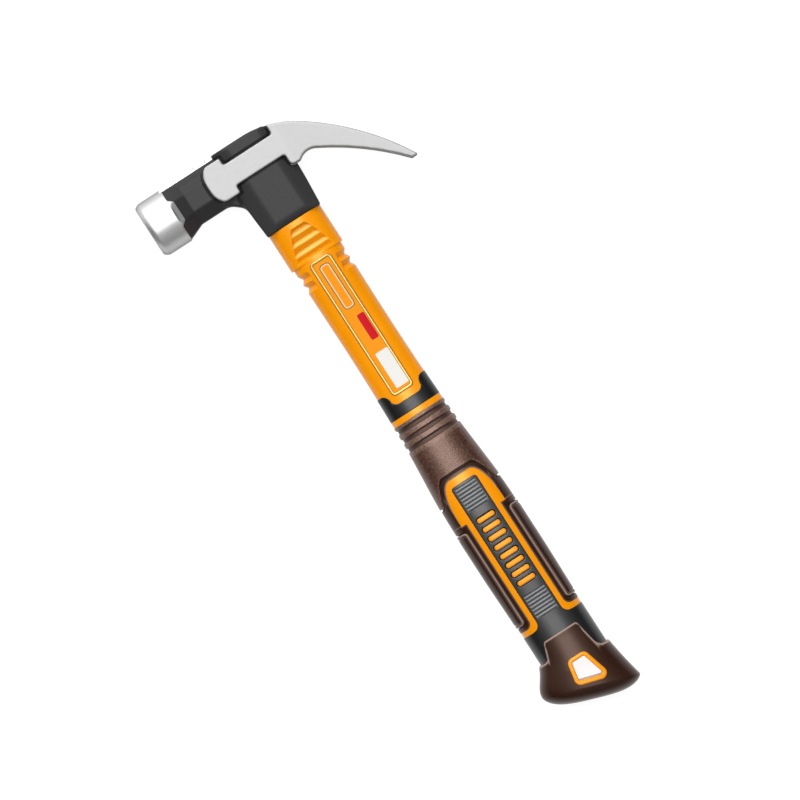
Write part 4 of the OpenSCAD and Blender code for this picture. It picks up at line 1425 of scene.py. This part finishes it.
def end_finish(material, sockets, *pieces):
    """Ends a material with a Principled shader that has the given sockets, and puts it on the pieces."""
    surface = add(material.node_tree, "BsdfPrincipled", sockets)
    add(material.node_tree, "OutputMaterial", {"Surface": surface})
    for piece in pieces:
        piece.data.materials.clear()
        piece.data.materials.append(material)
    print(f"{material.name}: {len(material.node_tree.nodes)} nodes, on {len(pieces)} of the pieces")


PER_MM = 1000.0  # texture scale for a pattern of one millimetre, since Object coordinates are in metres
print("middle grey as a linear value:", srgb("#808080")[0].round(3))

# %% [markdown]
# ### Drop-forged carbon steel, ground bright and painted
# The head is forged, then the poll, the bands and the claw are ground and polished, and the rest is
# sprayed dark grey. Ground steel is a rough mirror with fine lines, paint a satin dielectric with a
# slight orange peel. The attribute "bright" of the mesh says which is which.

# %% Head finish
material, tree, place = start_finish("forged steel, ground and painted")
bright, polished, groove = (add(tree, "Attribute", output="Fac", attribute_name=mark)
                            for mark in ("bright", "polished", "groove"))
bright, polished = (add(tree, "MapRange", {"Value": inside, "From Min": -0.06, "From Max": 0.06})
                    for inside in (bright, polished))
drawn_out = add(tree, "Mapping", {"Vector": place, "Scale": (0.12, 1.0, 1.0)})
lines = add(tree, "TexNoise", {"Vector": drawn_out, "Scale": PER_MM / 0.5, "Detail": 3.0})
peel = add(tree, "TexNoise", {"Vector": place, "Scale": PER_MM / 1.1, "Detail": 2.0})
steel = add(tree, "Mix", {0: lines, 6: "#9B9C9C", 7: "#ABABAA"}, data_type="RGBA")
buffed = add(tree, "Mix", {0: lines, 6: "#B6B7B8", 7: "#C6C6C5"}, data_type="RGBA")
steel = add(tree, "Mix", {0: polished, 6: steel, 7: buffed}, data_type="RGBA")
paint = add(tree, "Mix", {0: peel, 6: "#242425", 7: "#2C2C2D"}, data_type="RGBA")
# Painted shade: the paint is darkened in the fine groove round the bright band.
paint = add(tree, "Mix", {0: groove, 6: paint, 7: "#101113"}, data_type="RGBA")
ground = add(tree, "MapRange", {"Value": lines, "To Min": 0.54, "To Max": 0.66})
mirror = add(tree, "MapRange", {"Value": lines, "To Min": 0.4, "To Max": 0.48})
steel_rough = add(tree, "Mix", {0: polished, 2: ground, 3: mirror})
end_finish(material, {
    "Base Color": add(tree, "Mix", {0: bright, 6: paint, 7: steel}, data_type="RGBA"),
    "Metallic": bright,
    "Roughness": add(tree, "Mix", {0: bright, 2: 0.45, 3: steel_rough}),
    "Specular IOR Level": 0.16,
    "Specular Tint": add(tree, "Mix", {0: bright, 6: "#FFFFFF", 7: "#6A6A6A"}, data_type="RGBA"),
    "Normal": add(tree, "Bump", {"Height": peel, "Strength": 0.06, "Distance": 0.2 / PER_MM}),
}, head)

# %% [markdown]
# ### Injection-moulded polypropylene, amber
# A fairly glossy plastic coloured right through. The mould leaves a faint cloudiness in gloss and
# colour that is only seen as a slight unevenness of its highlights. The rising faces of the thumb
# rest's teeth get a painted highlight, a paler yellow where the mesh marks them.

# %% Amber plastic
material, tree, place = start_finish("moulded polypropylene, amber")
cloud = add(tree, "TexNoise", {"Vector": place, "Scale": PER_MM / 9, "Detail": 2.0})
highlight_mark = add(tree, "Attribute", output="Fac", attribute_name="painted_highlight")
highlight_share = add(tree, "MapRange", {"Value": highlight_mark, "To Max": 0.75})
plain = add(tree, "Mix", {0: cloud, 6: "#D17D00", 7: "#D78400"}, data_type="RGBA")
end_finish(material, {
    # Painted highlight: paler yellow on the teeth of the thumb rest.
    "Base Color": add(tree, "Mix", {0: highlight_share, 6: plain, 7: "#DDB065"}, data_type="RGBA"),
    "Roughness": add(tree, "MapRange", {"Value": cloud, "To Min": 0.24, "To Max": 0.32}),
    "IOR": 1.49,
    "Specular IOR Level": 0.47,
    "Specular Tint": "#FFDF92",
}, shaft_jacket, index_marks, hang_eyelet)

# %% [markdown]
# ### Thermoplastic elastomer, brown and black
# The soft grip is moulded rubber-like plastic: a dull sheen and a fine grain from the spark-eroded
# mould, with a painted highlight along edges and ribs, and painted shade, dark and dull, in the grooves.
# The grain of a real mould is about 0.1 mm; it is drawn at 0.4 mm so that it shows. The sleeve has a
# coarser, sparkling grain, drawn at 0.6 mm, that also varies its colour.

# %% Soft grip
GROOVE_ROUGH = 0.52


def elastomer(name, shades, tint, sheen, rough, *pieces, grain_mm=0.4, grain_depth=0.02, speckle=1.0):
    """Dull soft plastic: a dark and a light shade mixed by a grain of the given size, which also makes bumps
    and varies the gloss between the two values of rough; speckle is the contrast of the mix. The third
    shade is a painted highlight and the fourth a painted shade, each where the mesh marks it. Sheen and
    tint set the shader's own highlight."""
    material, tree, place = start_finish(name)
    dark, light, edge, painted_shade = shades
    spread = 0.5 / speckle
    grain = add(tree, "TexNoise", {"Vector": place, "Scale": PER_MM / grain_mm, "Detail": 4.0})
    share = add(tree, "MapRange", {"Value": grain, "From Min": 0.5 - spread, "From Max": 0.5 + spread})
    edge_highlight, sunk = (add(tree, "Attribute", output="Fac", attribute_name=mark)
                     for mark in ("painted_highlight", "sunk"))
    patchy = add(tree, "MapRange", {"Value": share, "To Min": 0.5})
    highlight_patches = add(tree, "Math", {0: edge_highlight, 1: patchy}, operation="MULTIPLY")
    body = add(tree, "Mix", {0: share, 6: dark, 7: light}, data_type="RGBA")
    body = add(tree, "Mix", {0: highlight_patches, 6: body, 7: edge}, data_type="RGBA")
    gloss = add(tree, "MapRange", {"Value": grain, "To Min": rough[0], "To Max": rough[1]})
    end_finish(material, {
        "Base Color": add(tree, "Mix", {0: sunk, 6: body, 7: painted_shade}, data_type="RGBA"),
        "Roughness": add(tree, "Mix", {0: sunk, 2: gloss, 3: GROOVE_ROUGH}),
        "Normal": add(tree, "Bump", {"Height": grain, "Strength": 0.5, "Distance": grain_depth / PER_MM}),
        "IOR": 1.5,
        "Specular IOR Level": sheen,
        "Specular Tint": tint,
    }, *pieces)


# Shades of each: dark, light, painted highlight along edges, painted shade in grooves.
elastomer("elastomer, brown", ("#1F0D06", "#29140B", "#A0887C", "#180903"), "#FFDCCC", 0.32, (0.3, 0.38),
          grip_frame, claw_side_pad, face_side_pad, butt_cap)
elastomer("elastomer, brown, spark grain", ("#160804", "#48291D", "#A0887C", "#200C04"), "#FFDACA", 0.8,
          (0.28, 0.46), grip_sleeve, grain_mm=0.62, grain_depth=0.22, speckle=4.5)
elastomer("elastomer, black", ("#08090A", "#0D0E0F", "#86888A", "#050505"), "#FFFFFF", 0.31, (0.3, 0.4),
          grip_collar)
elastomer("elastomer, black, fine grain", ("#090A0B", "#0F1011", "#76787A", "#050505"), "#FFFFFF", 0.46,
          (0.31, 0.39), grip_inlay)

# %% [markdown]
# ### Label film
# A printed film: glossy, with a silver border. The two dark lines beside the border are painted shade
# on the flanks of its embossed ridge. The sheet's marks hold the distance in millimetres inside its
# edge and inside each printed field, and a steep ramp at the right distance turns each of them into colour.

# %% Label film
material, tree, _ = start_finish("printed film with silver border")


def print_and_shade(mark, *edges):
    """Share of colour from the first of the edges, in a mark's distance, to the second one if there is one;
    its edges are 0.1 mm soft. It draws the print and the painted shade beside the border."""
    inside = add(tree, "Attribute", output="Fac", attribute_name=mark)
    ramps = [{"Value": inside, "From Min": edge - 0.05, "From Max": edge + 0.05} for edge in edges]
    shares = [add(tree, "MapRange", ramp) for ramp in ramps]
    if len(shares) == 1:
        return shares[0]
    return add(tree, "Math", dict(enumerate(shares)), operation="SUBTRACT")


silver = print_and_shade("film_inside", 0.3, 1.1)
colour = "#D38000"
# First the painted shade on both flanks of the border's ridge, then the silver, then the print.
for share, code in ((print_and_shade("film_inside", 0.1, 1.35), "#7A5610"), (silver, "#C9A566"),
                    (print_and_shade("cartouche", 0.0, 0.3), "#2B2420"), (print_and_shade("cartouche", 0.3, 0.85), "#C2B28C"),
                    (print_and_shade("red_field", 0.0), "#AE0012"), (print_and_shade("white_field", 0.0), "#C8C7C2")):
    colour = add(tree, "Mix", {0: share, 6: colour, 7: code}, data_type="RGBA")
end_finish(material, {
    "Base Color": colour,
    "Metallic": silver,
    "Roughness": 0.45,
    "Specular IOR Level": 0.08,
}, front_label)

# %% [markdown]
# ### Core, resin and magnet
# These three stay the CAD solids: only the sawn end of the core, a ring of resin and a small disc
# can be seen in the top of the head. The pultruded core shows its sawn glass strands as short pale
# dots, the cast resin is a glossy brown, and the nickel plate a mirror with a slight haze.

# %% Core, resin and magnet


def mottled(name, spot_mm, detail, shades, sockets, piece, drawn_out=None):
    """Two shades mixed by spots of the given size, which may be drawn out along an axis, with the shader's
    other sockets as given."""
    material, tree, place = start_finish(name)
    if drawn_out:
        place = add(tree, "Mapping", {"Vector": place, "Scale": drawn_out})
    spots = add(tree, "TexNoise", {"Vector": place, "Scale": PER_MM / spot_mm, "Detail": detail})
    colour = add(tree, "Mix", {0: spots, 6: shades[0], 7: shades[1]}, data_type="RGBA")
    end_finish(material, {"Base Color": colour, **sockets}, piece)


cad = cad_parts
mottled("pultruded fibreglass, sawn", 0.6, 3.0, ("#7E7250", "#B8AC86"), {"Roughness": 0.62},
        cad["fibreglass_core"], drawn_out=(1.0, 0.1, 1.0))
mottled("cast epoxy resin", 3, 2.0, ("#5A3D1E", "#7C5830"), {"Roughness": 0.25}, cad["epoxy_bond"])

material, tree, place = start_finish("nickel plate")
haze = add(tree, "TexNoise", {"Vector": place, "Scale": PER_MM / 0.7, "Detail": 2.0})
end_finish(material, {
    "Base Color": "#B9B7AE",
    "Metallic": 1.0,
    "Roughness": add(tree, "MapRange", {"Value": haze, "To Min": 0.18, "To Max": 0.32}),
}, cad["nail_magnet"])
print("materials:", ", ".join(m.name for m in bpy.data.materials if m.users))

# %% [markdown]
# ## Studio
# A product photograph on white is lit softly from the camera's side. Two bright patches of sky are
# drawn in the world's background: a wide one towards the head, which makes round steel bright on that
# side, and a dimmer one towards the butt, which lets it fade slowly on the other. A narrow strip lamp
# over the hammer lays one highlight along the handle, and a low wide lamp beyond the head picks out
# steps, louvres and rolled edges. The floor is a light table, whose glow keeps shadows faint.

# %% Studio
LAMP_AWAY = 1.8
FLOOR_REACH = 6.0
scene = bpy.context.scene
scene.view_settings.view_transform = "Standard"
scene.world = bpy.data.worlds.new("studio")
scene.world.use_nodes = True
room = scene.world.node_tree
room.nodes.clear()
direction = add(room, "TexCoord", output="Generated")


def leaning(degrees):
    """Direction that leans from straight up towards the head."""
    return 0.0, math.sin(math.radians(degrees)), math.cos(math.radians(degrees))


def sky_patch(lean, start, dimmest, brightest):
    """Glow of a round patch of sky that leans towards the head by an angle in degrees: a soft step over the
    cosine of the angle from its middle."""
    toward = add(room, "VectorMath", {0: direction, 1: leaning(lean)}, "Value", operation="DOT_PRODUCT")
    return add(room, "MapRange", {"Value": toward, "From Min": start, "From Max": 0.95, "To Min": dimmest,
                                  "To Max": brightest}, interpolation_type="SMOOTHSTEP")


def lamp(name, size, energy, lean):
    """Flat lamp of the given size, leaning towards the head by an angle in degrees."""
    data = bpy.data.lights.new(name, "AREA")
    data.shape = "RECTANGLE"
    data.size, data.size_y = size
    data.energy = energy
    light = add_object(name, data)
    light.location = [LAMP_AWAY * part for part in leaning(lean)]
    light.rotation_euler = (-math.radians(lean), 0, 0)


patches = {0: sky_patch(58, 0.3, 0.08, 1.7), 1: sky_patch(-33, 0.5, 0.0, 0.5)}
sky = add(room, "Math", patches, operation="ADD")
add(room, "OutputWorld", {"Surface": add(room, "Background", {"Color": sky})})
lamp("strip", (0.36, 0.84), 17.0, 8.5)
lamp("rim", (1.0, 0.85), 13.5, 62)
print("lamps:", ", ".join(light.name for light in bpy.data.lights))

floor_mesh = bpy.data.meshes.new("floor")
corners = [(-FLOOR_REACH, -FLOOR_REACH), (FLOOR_REACH, -FLOOR_REACH),
           (FLOOR_REACH, FLOOR_REACH), (-FLOOR_REACH, FLOOR_REACH)]
floor_mesh.from_pydata([(x, y, cad_box[0][2]) for x, y in corners], [], [(0, 1, 2, 3)])
floor = add_object("floor", floor_mesh)
glow = {"Roughness": 0.8, "Emission Color": "#FFFFFF", "Emission Strength": 0.88}
mottled("opal acrylic light table", 2, 3.0, ("#767676", "#7C7C7C"), glow, floor)

# %% [markdown]
# ## Camera
# The photograph looks straight at the hammer's cheek from far off, with the handle turned 32.9
# degrees to the left of upright, and shows 320 mm from edge to edge. A long lens over the middle of that
# square repeats it.

# %% Camera
VIEW_MIDDLE, VIEW_SPAN, VIEW_TURN = (-3.42, -83.14), 320.0, -32.9
LENS, SENSOR = 400.0, 36.0
camera_data = bpy.data.cameras.new("camera")
camera_data.lens = LENS
camera_data.sensor_width = SENSOR
camera = add_object("camera", camera_data)
camera.location = to_row([*VIEW_MIDDLE, VIEW_SPAN * LENS / SENSOR])
camera.rotation_euler = (0, 0, math.radians(VIEW_TURN))
scene.camera = camera
print("camera height in m:", round(camera.location.z, 3))
